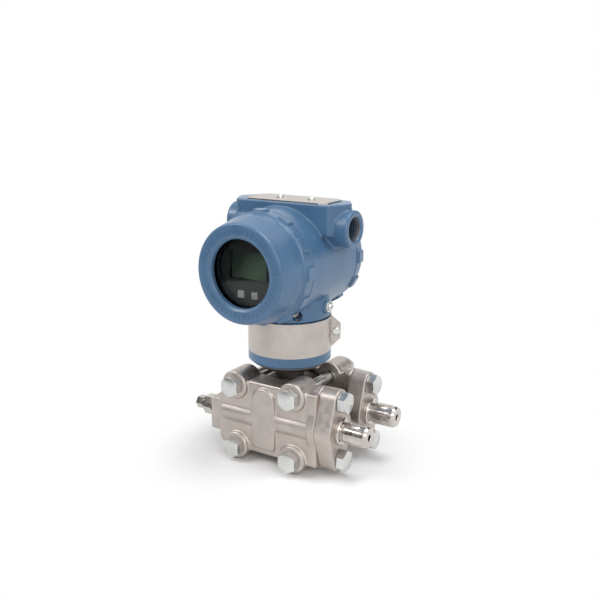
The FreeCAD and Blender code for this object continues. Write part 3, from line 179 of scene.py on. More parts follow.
class FastenerSettings(bpy.types.PropertyGroup):
    chamfer: bpy.props.FloatProperty(
        name="Head chamfer", description="Angle of the chamfer on hexagon heads",
        default=math.radians(30), subtype="ANGLE", unit="ROTATION")
    tick_count: bpy.props.IntProperty(
        name="Cover ticks", description="Number of plain ticks round the window cover",
        default=48, min=3)
    connector_pitch: bpy.props.FloatProperty(
        name="Connector pitch", description="Thread pitch of the process connectors",
        default=0.0012, min=0.0005, unit="LENGTH", precision=5)
    conduit_pitch: bpy.props.FloatProperty(
        name="Conduit pitch", description="Thread pitch of the conduit entries",
        default=0.0018, min=0.0005, unit="LENGTH", precision=5)


class StudioSettings(bpy.types.PropertyGroup):
    azimuth: bpy.props.FloatProperty(
        name="Camera azimuth", description="Camera's angle round the object",
        default=math.radians(32.61), subtype="ANGLE", unit="ROTATION")
    elevation: bpy.props.FloatProperty(
        name="Camera elevation", description="Camera's angle above the horizon",
        default=math.radians(16.66), subtype="ANGLE", unit="ROTATION")
    distance: bpy.props.FloatProperty(
        name="Camera distance", description="Distance from the point looked at",
        default=0.7403, min=0.1, unit="LENGTH")
    lens: bpy.props.FloatProperty(
        name="Lens", description="Focal length on a 36 mm wide frame, in millimetres",
        default=48.42, min=10)
    key_power: bpy.props.FloatProperty(
        name="Key light", description="Power of the main soft box, in watts", default=10.0, min=0)
    fill_power: bpy.props.FloatProperty(
        name="Fill light", description="Power of which the smaller soft boxes take a share, in watts",
        default=5.0, min=0)
    sky: bpy.props.FloatProperty(
        name="Room light", description="Strength of the plain light from all round",
        default=0.42, min=0)


def settings(name):
    return getattr(bpy.context.scene, name)


# ---------------------------------------------------------------- material helpers

NOISE_RANGE = (0.3, 0.7)  # a noise texture seldom leaves this range


def bare_tree(owner):
    """The emptied node tree of a material or a world."""
    owner.use_nodes = True
    owner.node_tree.nodes.clear()
    return owner.node_tree


def new_material(name):
    """A material with a bare Principled shader and its output."""
    material = bpy.data.materials.new(name)
    tree = bare_tree(material)
    output = tree.nodes.new("ShaderNodeOutputMaterial")
    shader = tree.nodes.new("ShaderNodeBsdfPrincipled")
    tree.links.new(shader.outputs["BSDF"], output.inputs["Surface"])
    return material, tree, shader


def add(tree, kind, **values):
    """A node of this kind, with its own properties or its inputs set by name."""
    item = tree.nodes.new(kind)
    for name, value in values.items():
        if hasattr(item, name):
            setattr(item, name, value)
        else:
            item.inputs[name.replace("_", " ").title()].default_value = value
    return item


def position(tree):
    return add(tree, "ShaderNodeTexCoord").outputs["Object"]


def noise(tree, scale, detail=2.0, where=None):
    cloud = add(tree, "ShaderNodeTexNoise", Scale=scale, Detail=detail)
    tree.links.new(where or position(tree), cloud.inputs["Vector"])
    return cloud.outputs["Fac"]


def ranged(tree, value, low, high):
    """The value of a noise texture spread from low to high."""
    least, most = NOISE_RANGE
    spread = add(tree, "ShaderNodeMapRange", From_Min=least, From_Max=most, To_Min=low, To_Max=high)
    tree.links.new(value, spread.inputs["Value"])
    return spread.outputs["Result"]


def tint(tree, shader, value, first, second):
    """Cloud the base colour between two tones."""
    mixer = add(tree, "ShaderNodeMix", data_type="RGBA", A=(*first, 1), B=(*second, 1))
    tree.links.new(value, mixer.inputs["Factor"])
    tree.links.new(mixer.outputs["Result"], shader.inputs["Base Color"])


def bump(tree, shader, height, depth, before=None):
    """Raise the surface by this texture; an earlier bump may be passed on."""
    relief = add(tree, "ShaderNodeBump", Strength=1.0, Distance=depth)
    tree.links.new(height, relief.inputs["Height"])
    if before:
        tree.links.new(before, relief.inputs["Normal"])
    tree.links.new(relief.outputs["Normal"], shader.inputs["Normal"])
    return relief.outputs["Normal"]


def last_bump(shader):
    """The bump that a shader already has."""
    return shader.inputs["Normal"].links[0].from_socket


def metal(name, colour, roughness, spread, grain_scale, grain_depth):
    """A metal with clouded colour, uneven roughness and a fine grain."""
    material, tree, shader = new_material(name)
    shader.inputs["Metallic"].default_value = 1.0
    where = position(tree)
    shade = 0.86
    darker = tuple(channel * shade for channel in colour)
    tint(tree, shader, ranged(tree, noise(tree, 60, 3, where), 0, 1), darker, colour)
    rough = ranged(tree, noise(tree, 220, 4, where), roughness - spread, roughness + spread)
    tree.links.new(rough, shader.inputs["Roughness"])
    bump(tree, shader, noise(tree, grain_scale, 3, where), grain_depth)
    return material, tree, shader


# ---------------------------------------------------------------- finishes

def blue_paint():
    """Enamel over a fine casting: soft waves, faint clouds and a little casting grain."""
    paint = settings("transmitter_paint")
    material, tree, shader = new_material("blue_paint")
    where = position(tree)
    tint(tree, shader, ranged(tree, noise(tree, 45, 3, where), 0, 1),
         tuple(paint.colour), tuple(paint.light_colour))
    smoother, rougher = paint.roughness - 0.05, paint.roughness + 0.07
    rough = ranged(tree, noise(tree, 180, 3, where), smoother, rougher)
    tree.links.new(rough, shader.inputs["Roughness"])
    shader.inputs["Coat Weight"].default_value = 0.2
    shader.inputs["Coat Roughness"].default_value = 0.14
    waves = bump(tree, shader, noise(tree, 420, 2, where), paint.peel)
    grain_depth = paint.peel / 4
    bump(tree, shader, noise(tree, 2600, 2, where), grain_depth, waves)
    return material


def cast_steel():
    """Blasted stainless casting: matt, slightly pitted, a little uneven in tone."""
    steel = settings("transmitter_steel")
    material, tree, shader = metal("cast_steel", tuple(steel.cast_colour), roughness=0.46,
                                   spread=0.07, grain_scale=900, grain_depth=0.06 * MM)
    bump(tree, shader, noise(tree, 170, 2), 0.12 * MM, last_bump(shader))
    return material


def turned_steel():
    """Turned stainless steel with fine rings along the turning axis."""
    steel = settings("transmitter_steel")
    material, tree, shader = metal("turned_steel", tuple(steel.turned_colour), roughness=0.17,
                                   spread=0.04, grain_scale=1500, grain_depth=0.002 * MM)
    rings = add(tree, "ShaderNodeTexWave", bands_direction="X", Scale=520.0, Distortion=1.2)
    tree.links.new(position(tree), rings.inputs["Vector"])
    bump(tree, shader, rings.outputs["Fac"], 0.002 * MM, last_bump(shader))
    return material


def zinc_steel():
    """Zinc plate: pale, faintly mottled and slightly soft in its reflections."""
    steel = settings("transmitter_steel")
    return metal("zinc_steel", tuple(steel.zinc_colour), roughness=0.33, spread=0.07,
                 grain_scale=700, grain_depth=0.03 * MM)[0]


def sheet_steel():
    """Rolled stainless sheet with a fine grain round the neck."""
    steel = settings("transmitter_steel")
    material, tree, shader = metal("sheet_steel", tuple(steel.sheet_colour), roughness=0.34,
                                   spread=0.05, grain_scale=500, grain_depth=0.01 * MM)
    stretch = add(tree, "ShaderNodeMapping", Scale=(40, 40, 3500))
    tree.links.new(position(tree), stretch.inputs["Vector"])
    grain = noise(tree, 1.0, 2, stretch.outputs["Vector"])
    bump(tree, shader, grain, 0.01 * MM, last_bump(shader))
    return material


def capsule_steel():
    """Matt stainless steel of the capsule, its neck and the conduit threads, its colour darkened as
    painted shade of the gap under the module and of the conduit bores.
    """
    steel = settings("transmitter_steel")
    return metal("capsule_steel", tuple(steel.capsule_shade_colour), roughness=0.5, spread=0.08,
                 grain_scale=800, grain_depth=0.03 * MM)[0]


def black_rubber():
    material, tree, shader = new_material("black_rubber")
    where = position(tree)
    tint(tree, shader, noise(tree, 300, 2, where), (0.012, 0.012, 0.012), (0.022, 0.022, 0.022))
    tree.links.new(ranged(tree, noise(tree, 600, 2, where), 0.55, 0.75), shader.inputs["Roughness"])
    bump(tree, shader, noise(tree, 1800, 2, where), 0.02 * MM)
    return material


def plastic(name, dark, light, low, high):
    """Moulded plastic with a fine spark-eroded grain."""
    material, tree, shader = new_material(name)
    shader.inputs["Specular IOR Level"].default_value = 0.3
    where = position(tree)
    tint(tree, shader, noise(tree, 120, 2, where), dark, light)
    tree.links.new(ranged(tree, noise(tree, 500, 2, where), low, high), shader.inputs["Roughness"])
    bump(tree, shader, noise(tree, 2400, 2, where), 0.015 * MM)
    return material


def window_glass():
    material, tree, shader = new_material("window_glass")
    shader.inputs["Base Color"].default_value = (0.93, 0.97, 0.95, 1)
    shader.inputs["Transmission Weight"].default_value = 1.0
    shader.inputs["IOR"].default_value = 1.25
    tree.links.new(ranged(tree, noise(tree, 90, 2), 0.0, 0.02), shader.inputs["Roughness"])
    return material


def display_glass():
    """The dark display: greenish, with painted shade of the cover's rim towards its upper left and
    painted light towards its lower right corner.
    """
    material, tree, shader = new_material("display_glass")
    low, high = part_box("display_glass")
    across, middle = high[0] - low[0], (low[2] + high[2]) / 2
    start, run, lean = low[0] + across * 0.2, across * 0.5, math.radians(35)
    corner = add(tree, "ShaderNodeMapping", vector_type="TEXTURE", Location=(start, 0, middle),
                 Rotation=(0, lean, 0), Scale=(run, across, across))
    tree.links.new(position(tree), corner.inputs["Vector"])
    painted_shade_to_light = add(tree, "ShaderNodeTexGradient")
    tree.links.new(corner.outputs["Vector"], painted_shade_to_light.inputs["Vector"])
    # painted shade and light: darker where the cover's rim shades the display, lighter towards its
    # lower right
    tint(tree, shader, painted_shade_to_light.outputs["Fac"], (0.022, 0.031, 0.025), (0.100, 0.132, 0.100))
    tree.links.new(ranged(tree, noise(tree, 200, 2), 0.2, 0.3), shader.inputs["Roughness"])
    shader.inputs["Specular IOR Level"].default_value = 0.15
    return material


def black_plastic():
    return plastic("black_plastic", dark=(0.010, 0.010, 0.011), light=(0.022, 0.021, 0.023),
                   low=0.35, high=0.5)


def grey_plastic():
    return plastic("grey_plastic", dark=(0.30, 0.31, 0.30), light=(0.38, 0.39, 0.38),
                   low=0.4, high=0.55)


def board_green():
    return plastic("board_green", dark=(0.01, 0.07, 0.03), light=(0.02, 0.11, 0.05),
                   low=0.3, high=0.45)


def dark_can():
    """The dark case of the electronics."""
    return plastic("dark_can", dark=(0.03, 0.03, 0.034), light=(0.05, 0.05, 0.055),
                   low=0.4, high=0.6)


def brass():
    return metal("brass", (0.72, 0.53, 0.24), roughness=0.28, spread=0.05,
                 grain_scale=900, grain_depth=0.01 * MM)[0]


FINISHES = {
    "blue_paint": blue_paint,
    "cast_steel": cast_steel,
    "turned_steel": turned_steel,
    "zinc_steel": zinc_steel,
    "band_steel": sheet_steel,
    "capsule_steel": capsule_steel,
    "black_rubber": black_rubber,
    "window_glass": window_glass,
    "display_glass": display_glass,
    "black_plastic": black_plastic,
    "grey_plastic": grey_plastic,
    "board_green": board_green,
    "dark_can": dark_can,
    "brass": brass,
}
MADE = {}  # the materials made so far, by slot


def finish_of(slot):
    """The material of a slot, made once."""
    if slot not in MADE:
        MADE[slot] = FINISHES[slot]()
    return MADE[slot]


# ---------------------------------------------------------------- mesh helpers

def keep(obj, body, slot, *nodes, crease=32):
    """Finish a piece with its slot's material, tie it to its body and hide the nodes it stands for."""
    obj.data.materials.clear()
    obj.data.materials.append(finish_of(slot))
    for face in obj.data.polygons:
        face.use_smooth = True
    obj.data.set_sharp_from_angle(angle=math.radians(crease))
    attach(obj, body)
    if nodes:
        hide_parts(*nodes)
    return obj


def add_object(name, data):
    obj = bpy.data.objects.new(name, data)
    bpy.context.scene.collection.objects.link(obj)
    return obj


def baked(obj, name):
    """A plain object with the evaluated mesh of another, which is then removed."""
    graph = bpy.context.evaluated_depsgraph_get()
    graph.update()
    mesh = bpy.data.meshes.new_from_object(obj.evaluated_get(graph))
    mesh.name = name
    bpy.data.objects.remove(obj)
    return add_object(name, mesh)


def grid_mesh(name, rings, closed):
    """A mesh through rings of equally many points; closed joins the last ring to the first."""
    count = len(rings[0])
    points = [point for ring in rings for point in ring]
    faces = []
    steps = len(rings) if closed else len(rings) - 1
    for step in range(steps):
        following = (step + 1) % len(rings)
        for index in range(count):
            after = (index + 1) % count
            faces.append((step * count + index, step * count + after,
                          following * count + after, following * count + index))
    mesh = bpy.data.meshes.new(name)
    mesh.from_pydata(points, [], faces)
    return mesh


def merge_skin(obj):
    """Merge the loose triangles of a copied node into one skin."""
    form = bmesh.new()
    form.from_mesh(obj.data)
    bmesh.ops.remove_doubles(form, verts=form.verts, dist=0.002 * MM)
    form.to_mesh(obj.data)
    form.free()


def cap(obj, count):
    """Close the first and the last ring of a piece, each of this many points, with a face."""
    form = bmesh.new()
    form.from_mesh(obj.data)
    form.verts.ensure_lookup_table()
    form.faces.new(form.verts[-count:])
    form.faces.new(list(reversed(form.verts[:count])))
    bmesh.ops.recalc_face_normals(form, faces=form.faces)
    form.to_mesh(obj.data)
    form.free()


def joined(first, second):
    """Two plain objects as one, under the first one's name."""
    form = bmesh.new()
    for obj in (first, second):
        form.from_mesh(obj.data)
    form.to_mesh(first.data)
    form.free()
    bpy.data.objects.remove(second)
    return first


def tidy(obj):
    """Merge doubles, drop faces that have no area and turn every face outwards."""
    form = bmesh.new()
    form.from_mesh(obj.data)
    bmesh.ops.remove_doubles(form, verts=form.verts, dist=0.005 * MM)
    bmesh.ops.dissolve_degenerate(form, edges=form.edges, dist=0.002 * MM)
    bmesh.ops.recalc_face_normals(form, faces=form.faces)
    form.to_mesh(obj.data)
    form.free()
    return obj


def rounded(profile, radius, closed):
    """A profile whose corners are cut by small arcs of this radius."""
    points = [Vector(point) for point in profile]
    largest = 0.45  # share of a side that one arc may take
    result = []
    for index, corner in enumerate(points):
        if not closed and index in (0, len(points) - 1):
            result.append(corner)
            continue
        before = points[index - 1] - corner
        after = points[(index + 1) % len(points)] - corner
        reach = min(radius, before.length * largest, after.length * largest)
        start = corner + before.normalized() * reach
        end = corner + after.normalized() * reach
        for step in (0, 0.25, 0.5, 0.75, 1):
            result.append(start * (1 - step) ** 2 + corner * 2 * step * (1 - step) + end * step ** 2)
    return result


def lathe(name, profile, centre, axis, radius, closed=False, segments=96):
    """A turned piece: (radius, along) points, in metres, swept round an axis through centre."""
    turn = Vector((0, 0, 1)).rotation_difference(Vector(axis)).to_matrix()
    rings = []
    for reach, along in rounded(profile, radius, closed):
        ring = []
        for step in range(segments):
            angle = math.tau * step / segments
            point = Vector((reach * math.cos(angle), reach * math.sin(angle), along))
            ring.append(Vector(centre) + turn @ point)
        rings.append(ring)
    return tidy(add_object(name, grid_mesh(name, rings, closed)))


def hexagon_reach(angle, across):
    """Distance from the middle of a hexagon to its edge at this angle."""
    turn = math.pi / 3
    return across / 2 / math.cos((angle + turn / 2) % turn - turn / 2)


def over_corners(across):
    """Width of a hexagon over its corners."""
    return across * 2 / math.sqrt(3)


def hexagon_head(name, across, height, bore, chamfer, both_ends=False, segments=96):
    """A chamfered hexagon head or nut standing on z = 0, round its own Z axis."""
    washer = across * HEAD_WASHER
    rings = [[] for _ in range(6)]
    for step in range(segments):
        angle = math.tau * step / segments
        edge = hexagon_reach(angle, across)
        drop = (edge - washer) * math.tan(chamfer)
        foot = drop + HEAD_LIFT if both_ends else HEAD_LIFT
        outline = ((bore, 0), (washer, 0), (edge, foot), (edge, height - drop), (washer, height),
                   (bore, height))
        for ring, (reach, rise) in zip(rings, outline):
            ring.append((reach * math.cos(angle), reach * math.sin(angle), rise))
    return tidy(add_object(name, grid_mesh(name, rings, closed=True)))


def hex_bolt(name, head, length, chamfer):
    """A bolt whose head stands on z = 0 and whose shank runs down from it."""
    top = hexagon_head(name, BOLT_ACROSS, head, 0.0, chamfer)
    tip = 1 * MM
    profile = [(0, -length), (BOLT_SHANK - tip, -length), (BOLT_SHANK, -length + tip),
               (BOLT_SHANK, BOLT_EDGE), (0, BOLT_EDGE)]
    rod = lathe(name + "_rod", profile, (0, 0, 0), (0, 0, 1), BOLT_EDGE, segments=48)
    return joined(top, rod)


# ---------------------------------------------------------------- Geometry Nodes helpers

def new_tree(name, sockets):
    """An empty tree with a geometry output and these named inputs."""
    tree = bpy.data.node_groups.new(name, "GeometryNodeTree")
    tree.interface.new_socket("Geometry", in_out="OUTPUT", socket_type="NodeSocketGeometry")
    for label, kind in sockets:
        tree.interface.new_socket(label, in_out="INPUT", socket_type=kind)
    return tree, tree.nodes.new("NodeGroupInput"), tree.nodes.new("NodeGroupOutput")


def close_tree(tree, start, end, geometry):
    """Realize the instances, set the material and reach the output."""
    real = tree.nodes.new("GeometryNodeRealizeInstances")
    paint = tree.nodes.new("GeometryNodeSetMaterial")
    tree.links.new(geometry, real.inputs["Geometry"])
    tree.links.new(real.outputs["Geometry"], paint.inputs["Geometry"])
    tree.links.new(start.outputs["Material"], paint.inputs["Material"])
    tree.links.new(paint.outputs["Geometry"], end.inputs["Geometry"])
    return tree


def grown(name, tree, **values):
    """Run a tree with these input values and return its result as a plain object."""
    holder = add_object(name + "_holder", bpy.data.meshes.new(name + "_holder"))
    modifier = holder.modifiers.new(name, "NODES")
    modifier.node_group = tree
    for item in tree.interface.items_tree:
        if item.in_out == "INPUT" and item.name in values:
            modifier[item.identifier] = values[item.name]
    return baked(holder, name)


def grid_tree():
    """One piece repeated at the corners of a rectangle that stands in the XZ plane."""
    tree, start, end = new_tree("repeat_on_grid", [
        ("Piece", "NodeSocketObject"), ("Width", "NodeSocketFloat"), ("Height", "NodeSocketFloat"),
        ("Columns", "NodeSocketInt"), ("Rows", "NodeSocketInt"), ("Place", "NodeSocketVector"),
        ("Turn", "NodeSocketVector"), ("Facing", "NodeSocketVector"),
        ("Material", "NodeSocketMaterial")])
    grid = tree.nodes.new("GeometryNodeMeshGrid")
    for label, socket in (("Width", "Size X"), ("Height", "Size Y"), ("Columns", "Vertices X"),
                          ("Rows", "Vertices Y")):
        tree.links.new(start.outputs[label], grid.inputs[socket])
    place = tree.nodes.new("GeometryNodeTransform")
    tree.links.new(grid.outputs["Mesh"], place.inputs["Geometry"])
    tree.links.new(start.outputs["Place"], place.inputs["Translation"])
    tree.links.new(start.outputs["Turn"], place.inputs["Rotation"])
    piece = tree.nodes.new("GeometryNodeObjectInfo")
    tree.links.new(start.outputs["Piece"], piece.inputs["Object"])
    spread = tree.nodes.new("GeometryNodeInstanceOnPoints")
    tree.links.new(place.outputs["Geometry"], spread.inputs["Points"])
    tree.links.new(piece.outputs["Geometry"], spread.inputs["Instance"])
    tree.links.new(start.outputs["Facing"], spread.inputs["Rotation"])
    return close_tree(tree, start, end, spread.outputs["Instances"])


def circle_tree():
    """One piece repeated round a circle in the XY plane, each turned to face outwards."""
    tree, start, end = new_tree("repeat_on_circle", [
        ("Piece", "NodeSocketObject"), ("Count", "NodeSocketInt"), ("Radius", "NodeSocketFloat"),
        ("Place", "NodeSocketVector"), ("Turn", "NodeSocketVector"),
        ("Material", "NodeSocketMaterial")])
    circle = tree.nodes.new("GeometryNodeMeshCircle")
    tree.links.new(start.outputs["Count"], circle.inputs["Vertices"])
    tree.links.new(start.outputs["Radius"], circle.inputs["Radius"])
    piece = tree.nodes.new("GeometryNodeObjectInfo")
    tree.links.new(start.outputs["Piece"], piece.inputs["Object"])
    outward = tree.nodes.new("FunctionNodeAlignEulerToVector")
    outward.axis = "X"
    spot = tree.nodes.new("GeometryNodeInputPosition")
    tree.links.new(spot.outputs["Position"], outward.inputs["Vector"])
    spread = tree.nodes.new("GeometryNodeInstanceOnPoints")
    tree.links.new(circle.outputs["Mesh"], spread.inputs["Points"])
    tree.links.new(piece.outputs["Geometry"], spread.inputs["Instance"])
    tree.links.new(outward.outputs["Rotation"], spread.inputs["Rotation"])
    place = tree.nodes.new("GeometryNodeTransform")
    tree.links.new(spread.outputs["Instances"], place.inputs["Geometry"])
    tree.links.new(start.outputs["Place"], place.inputs["Translation"])
    tree.links.new(start.outputs["Turn"], place.inputs["Rotation"])
    return close_tree(tree, start, end, place.outputs["Geometry"])


def thread_tree():
    """A helical ridge, its section a square on its corner, round the Z axis, then turned and placed."""
    tree, start, end = new_tree("thread_turns", [
        ("Radius", "NodeSocketFloat"), ("Length", "NodeSocketFloat"), ("Turns", "NodeSocketFloat"),
        ("Ridge", "NodeSocketFloat"), ("Place", "NodeSocketVector"), ("Turn", "NodeSocketVector"),
        ("Material", "NodeSocketMaterial")])
    spiral = add(tree, "GeometryNodeCurveSpiral", Resolution=48)
    for label, socket in (("Radius", "Start Radius"), ("Radius", "End Radius"), ("Length", "Height"),
                          ("Turns", "Rotations")):
        tree.links.new(start.outputs[label], spiral.inputs[socket])
    section = add(tree, "GeometryNodeCurvePrimitiveCircle", Resolution=4)
    tree.links.new(start.outputs["Ridge"], section.inputs["Radius"])
    sweep = add(tree, "GeometryNodeCurveToMesh", Fill_Caps=True)
    tree.links.new(spiral.outputs["Curve"], sweep.inputs["Curve"])
    tree.links.new(section.outputs["Curve"], sweep.inputs["Profile Curve"])
    place = tree.nodes.new("GeometryNodeTransform")
    tree.links.new(sweep.outputs["Mesh"], place.inputs["Geometry"])
    tree.links.new(start.outputs["Place"], place.inputs["Translation"])
    tree.links.new(start.outputs["Turn"], place.inputs["Rotation"])
    return close_tree(tree, start, end, place.outputs["Geometry"])


# ---------------------------------------------------------------- pieces

def casting(node, body, slot, scale=1.0, rounds=None, shape=None):
    """A softened copy of a cast node that stands for it."""
    cast = settings("transmitter_casting")
    piece = add_object(node + "_source", NODES[node].data.copy())
    merge_skin(piece)
    rebuild = piece.modifiers.new("rebuild", "REMESH")
    rebuild.mode = "VOXEL"
    rebuild.voxel_size = cast.voxel * scale
    soften = piece.modifiers.new("soften", "SMOOTH")
    soften.factor = 0.5
    soften.iterations = rounds or cast.rounds
    soft = baked(piece, node + "_soft")
    if shape:
        shape(soft)
    thin = soft.modifiers.new("thin", "DECIMATE")
    thin.ratio = cast.kept
    return keep(baked(soft, node + "_casting"), body, slot, node, crease=180)


def faded(distance, reach):
    """1 at no distance, falling evenly to 0 at this reach."""
    return max(1 - distance / reach, 0)


def draft_cover(obj):
    """Narrow a cover behind its face's edge, sink the face by its ticks and bevel the window's edge."""
    cast = settings("transmitter_casting")
    face = abs(COVER_FRONT)
    for vertex in obj.data.vertices:
        place = vertex.co
        depth = face - abs(place.y)
        out = Vector((place.x - COVER_CENTRE.x, 0, place.z - COVER_CENTRE.z))
        beyond = out.length - WINDOW_RADIUS
        rim = min(max(beyond / DRAFT_RIM, 0), 1)
        along = min(depth / DRAFT_DEPTH, faded(depth - DRAFT_DEPTH, DRAFT_RUN))
        if rim > 0:
            place -= out.normalized() * cast.draft * rim * max(along, 0)
        sink = TICK_RISE
        if place.y < 0 and beyond > -OPENING_PLAY:
            sink += BEVEL_SLOPE * max(cast.bevel - max(beyond, 0), 0)
        place.y -= math.copysign(sink * faded(depth, SUNK_DEPTH), place.y)


def tick_blank():
    """One plain tick with its top at z = 0."""
    rings = []
    for level, wider in ((-TICK_ROOT, 0), (-TICK_FLARE, 0), (0, TICK_FLARE)):
        x, y = TICK_LENGTH / 2 + wider, TICK_WIDTH / 2 + wider
        rings.append([(-x, -y, level), (x, -y, level), (x, y, level), (-x, y, level)])
    tick = add_object("tick", grid_mesh("tick", rings, closed=False))
    cap(tick, len(rings[0]))
    return tick


def four_fasteners(name, tree, blank, node, **places):
    """A blank at the corners of a rectangle, in place of a node of the process body."""
    piece = grown(name, tree, Piece=blank, Columns=2, Rows=2, Material=finish_of("zinc_steel"),
                  **places)
    bpy.data.objects.remove(blank)
    keep(piece, "process", "zinc_steel", node)


def flange_fasteners(tree, chamfer):
    """Bolts from the front flange through to the rear one, and their nuts."""
    low, high = node_box("flange_bolts")
    nut_low, nut_high = node_box("flange_nuts")
    middle = (low + high) / 2
    width = high.x - low.x - over_corners(BOLT_ACROSS)
    height = high.z - low.z - BOLT_ACROSS
    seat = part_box("front_flange")[0][1]
    bolt = hex_bolt("bolt", seat - low.y, high.y - seat, chamfer)
    four_fasteners("flange_bolt_set", tree, bolt, "flange_bolts", Width=width, Height=height,
                   Place=(middle.x, seat, middle.z), Turn=TO_FRONT, Facing=TO_FRONT)
    nut = hexagon_head("nut", BOLT_ACROSS, nut_high.y - nut_low.y, BOLT_SHANK, chamfer, both_ends=True)
    four_fasteners("flange_nut_set", tree, nut, "flange_nuts", Width=width, Height=height,
                   Place=(middle.x, nut_low.y, middle.z), Turn=TO_BACK, Facing=TO_BACK)


def adapter_fasteners(tree, chamfer):
    """Bolts that hold the two adapters to the flanges."""
    low, high = node_box("adapter_bolts")
    middle = (low + high) / 2
    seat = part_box("front_adapter")[1][0]
    bolt = hex_bolt("adapter_bolt", high.x - seat, seat - low.x, chamfer)
    four_fasteners("adapter_bolt_set", tree, bolt, "adapter_bolts",
                   Width=high.z - low.z - BOLT_ACROSS,
                   Height=high.y - low.y - over_corners(BOLT_ACROSS),
                   Place=(seat, middle.y, middle.z), Turn=TO_X, Facing=(QUARTER, 0, QUARTER))


def connector_profile(inner, face, tip):
    """Half the section of a connector, from its inner end past the adapter's face to its tip."""
    bore, shank, relief, collar = 2.8 * MM, 9 * MM, 8.6 * MM, 12.5 * MM
    edge, collar_end = 1 * MM, face + 4 * MM
    relief_end, thread_start = face + 6.5 * MM, face + 7.2 * MM
    nose_length, nose_cut, mouth = 2.4 * MM, 1.2 * MM, 0.5 * MM
    return [
        (bore, inner), (shank, inner), (shank, face), (collar, face), (collar, collar_end - edge),
        (collar - edge, collar_end), (relief, collar_end), (relief, relief_end),
        (THREAD_ROOT, thread_start), (THREAD_ROOT, tip - nose_length), (THREAD_ROOT - nose_cut, tip),
        (bore + mouth, tip), (bore, tip - mouth)]


def connector(side, tree, pitch):
    """A turned connector and the thread round it."""
    low, high = node_box(f"{side}_connector")
    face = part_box(f"{side}_adapter")[1][0]
    centre = (0, (low.y + high.y) / 2, (low.z + high.z) / 2)
    core = lathe(f"{side}_connector_core", connector_profile(low.x, face, high.x), centre,
                 (1, 0, 0), 0.25 * MM, closed=True)
    keep(core, "process", "turned_steel", f"{side}_connector")
    start, stop = face + 7.6 * MM, high.x - 2.2 * MM
    thread = grown(f"{side}_connector_thread", tree, Radius=THREAD_ROOT, Length=stop - start,
                   Turns=(stop - start) / pitch, Ridge=THREAD_CREST - THREAD_ROOT,
                   Place=(start, centre[1], centre[2]), Turn=TO_X,
                   Material=finish_of("turned_steel"))
    keep(thread, "process", "turned_steel")


class TRANSMITTER_OT_finishes(bpy.types.Operator):
    """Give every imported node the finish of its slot"""
    bl_idname = "transmitter.finishes"
    bl_label = "Finish the nodes"

    def execute(self, context):
        for entry in frame["record"]["subparts"]:
            node = NODES[entry["node"]]
            node.data.materials.clear()
            node.data.materials.append(finish_of(entry["material_slot"]))
        return {"FINISHED"}


class TRANSMITTER_OT_castings(bpy.types.Operator):
    """Rebuild the castings with the soft edges of cast metal"""
    bl_idname = "transmitter.castings"
    bl_label = "Castings"

    def execute(self, context):
        for side in ("front", "rear"):
            casting(f"{side}_flange", "process", "cast_steel")
            casting(f"{side}_adapter", "process", "cast_steel", scale=0.75)
            casting(f"{side}_cover", f"{side}_cover", "blue_paint", scale=0.7, rounds=3,
                    shape=draft_cover)
        casting("housing", "housing", "blue_paint")
        return {"FINISHED"}


class TRANSMITTER_OT_cover_ticks(bpy.types.Operator):
    """Plain raised ticks round the face of the window cover"""
    bl_idname = "transmitter.cover_ticks"
    bl_label = "Cover ticks"

    def execute(self, context):
        count = settings("transmitter_fasteners").tick_count
        tick = tick_blank()
        face = (COVER_CENTRE.x, COVER_FRONT, COVER_CENTRE.z)
        piece = grown("cover_ticks", circle_tree(), Piece=tick, Count=count,
                      Radius=(WINDOW_RADIUS + FACE_RADIUS) / 2, Place=face, Turn=TO_FRONT,
                      Material=finish_of("blue_paint"))
        bpy.data.objects.remove(tick)
        keep(piece, "front_cover", "blue_paint")
        return {"FINISHED"}


class TRANSMITTER_OT_flange_fasteners(bpy.types.Operator):
    """Hexagon bolts and nuts of the flanges and adapters"""
    bl_idname = "transmitter.flange_fasteners"
    bl_label = "Flange bolts and nuts"

    def execute(self, context):
        chamfer = settings("transmitter_fasteners").chamfer
        tree = grid_tree()
        flange_fasteners(tree, chamfer)
        adapter_fasteners(tree, chamfer)
        return {"FINISHED"}


class TRANSMITTER_OT_connectors(bpy.types.Operator):
    """Process connectors with their collars, threads and bored noses"""
    bl_idname = "transmitter.connectors"
    bl_label = "Process connectors"

    def execute(self, context):
        pitch = settings("transmitter_fasteners").connector_pitch
        tree = thread_tree()
        for side in ("front", "rear"):
            connector(side, tree, pitch)
        return {"FINISHED"}


class TRANSMITTER_OT_conduit_threads(bpy.types.Operator):
    """Threads inside the two conduit entries"""
    bl_idname = "transmitter.conduit_threads"
    bl_label = "Conduit threads"

    def execute(self, context):
        pitch = settings("transmitter_fasteners").conduit_pitch
        tree = thread_tree()
        low, high = node_box("housing")
        mounts = {mount["name"]: mount for mount in frame["record"]["mounts"]}
        for label in ("right", "left"):
            mount = mounts[f"{label}_conduit_entry"]
            radius = mount["dims"]["r_mm"] * MM
            length = mount["dims"]["length_mm"] * MM - CONDUIT_RUNOUT
            right_start, left_start = high.x - CONDUIT_INSET - length, low.x + CONDUIT_INSET
            start = right_start if label == "right" else left_start
            # the threads take the dark capsule steel, which paints the shade inside the bores
            thread = grown(f"{label}_conduit_thread", tree, Radius=radius, Length=length,
                           Turns=length / pitch, Ridge=CONDUIT_RIDGE,
                           Place=(start, mount["pos_m"][1], mount["pos_m"][2]), Turn=TO_X,
                           Material=finish_of("capsule_steel"))
            keep(thread, "housing", "capsule_steel")
        return {"FINISHED"}


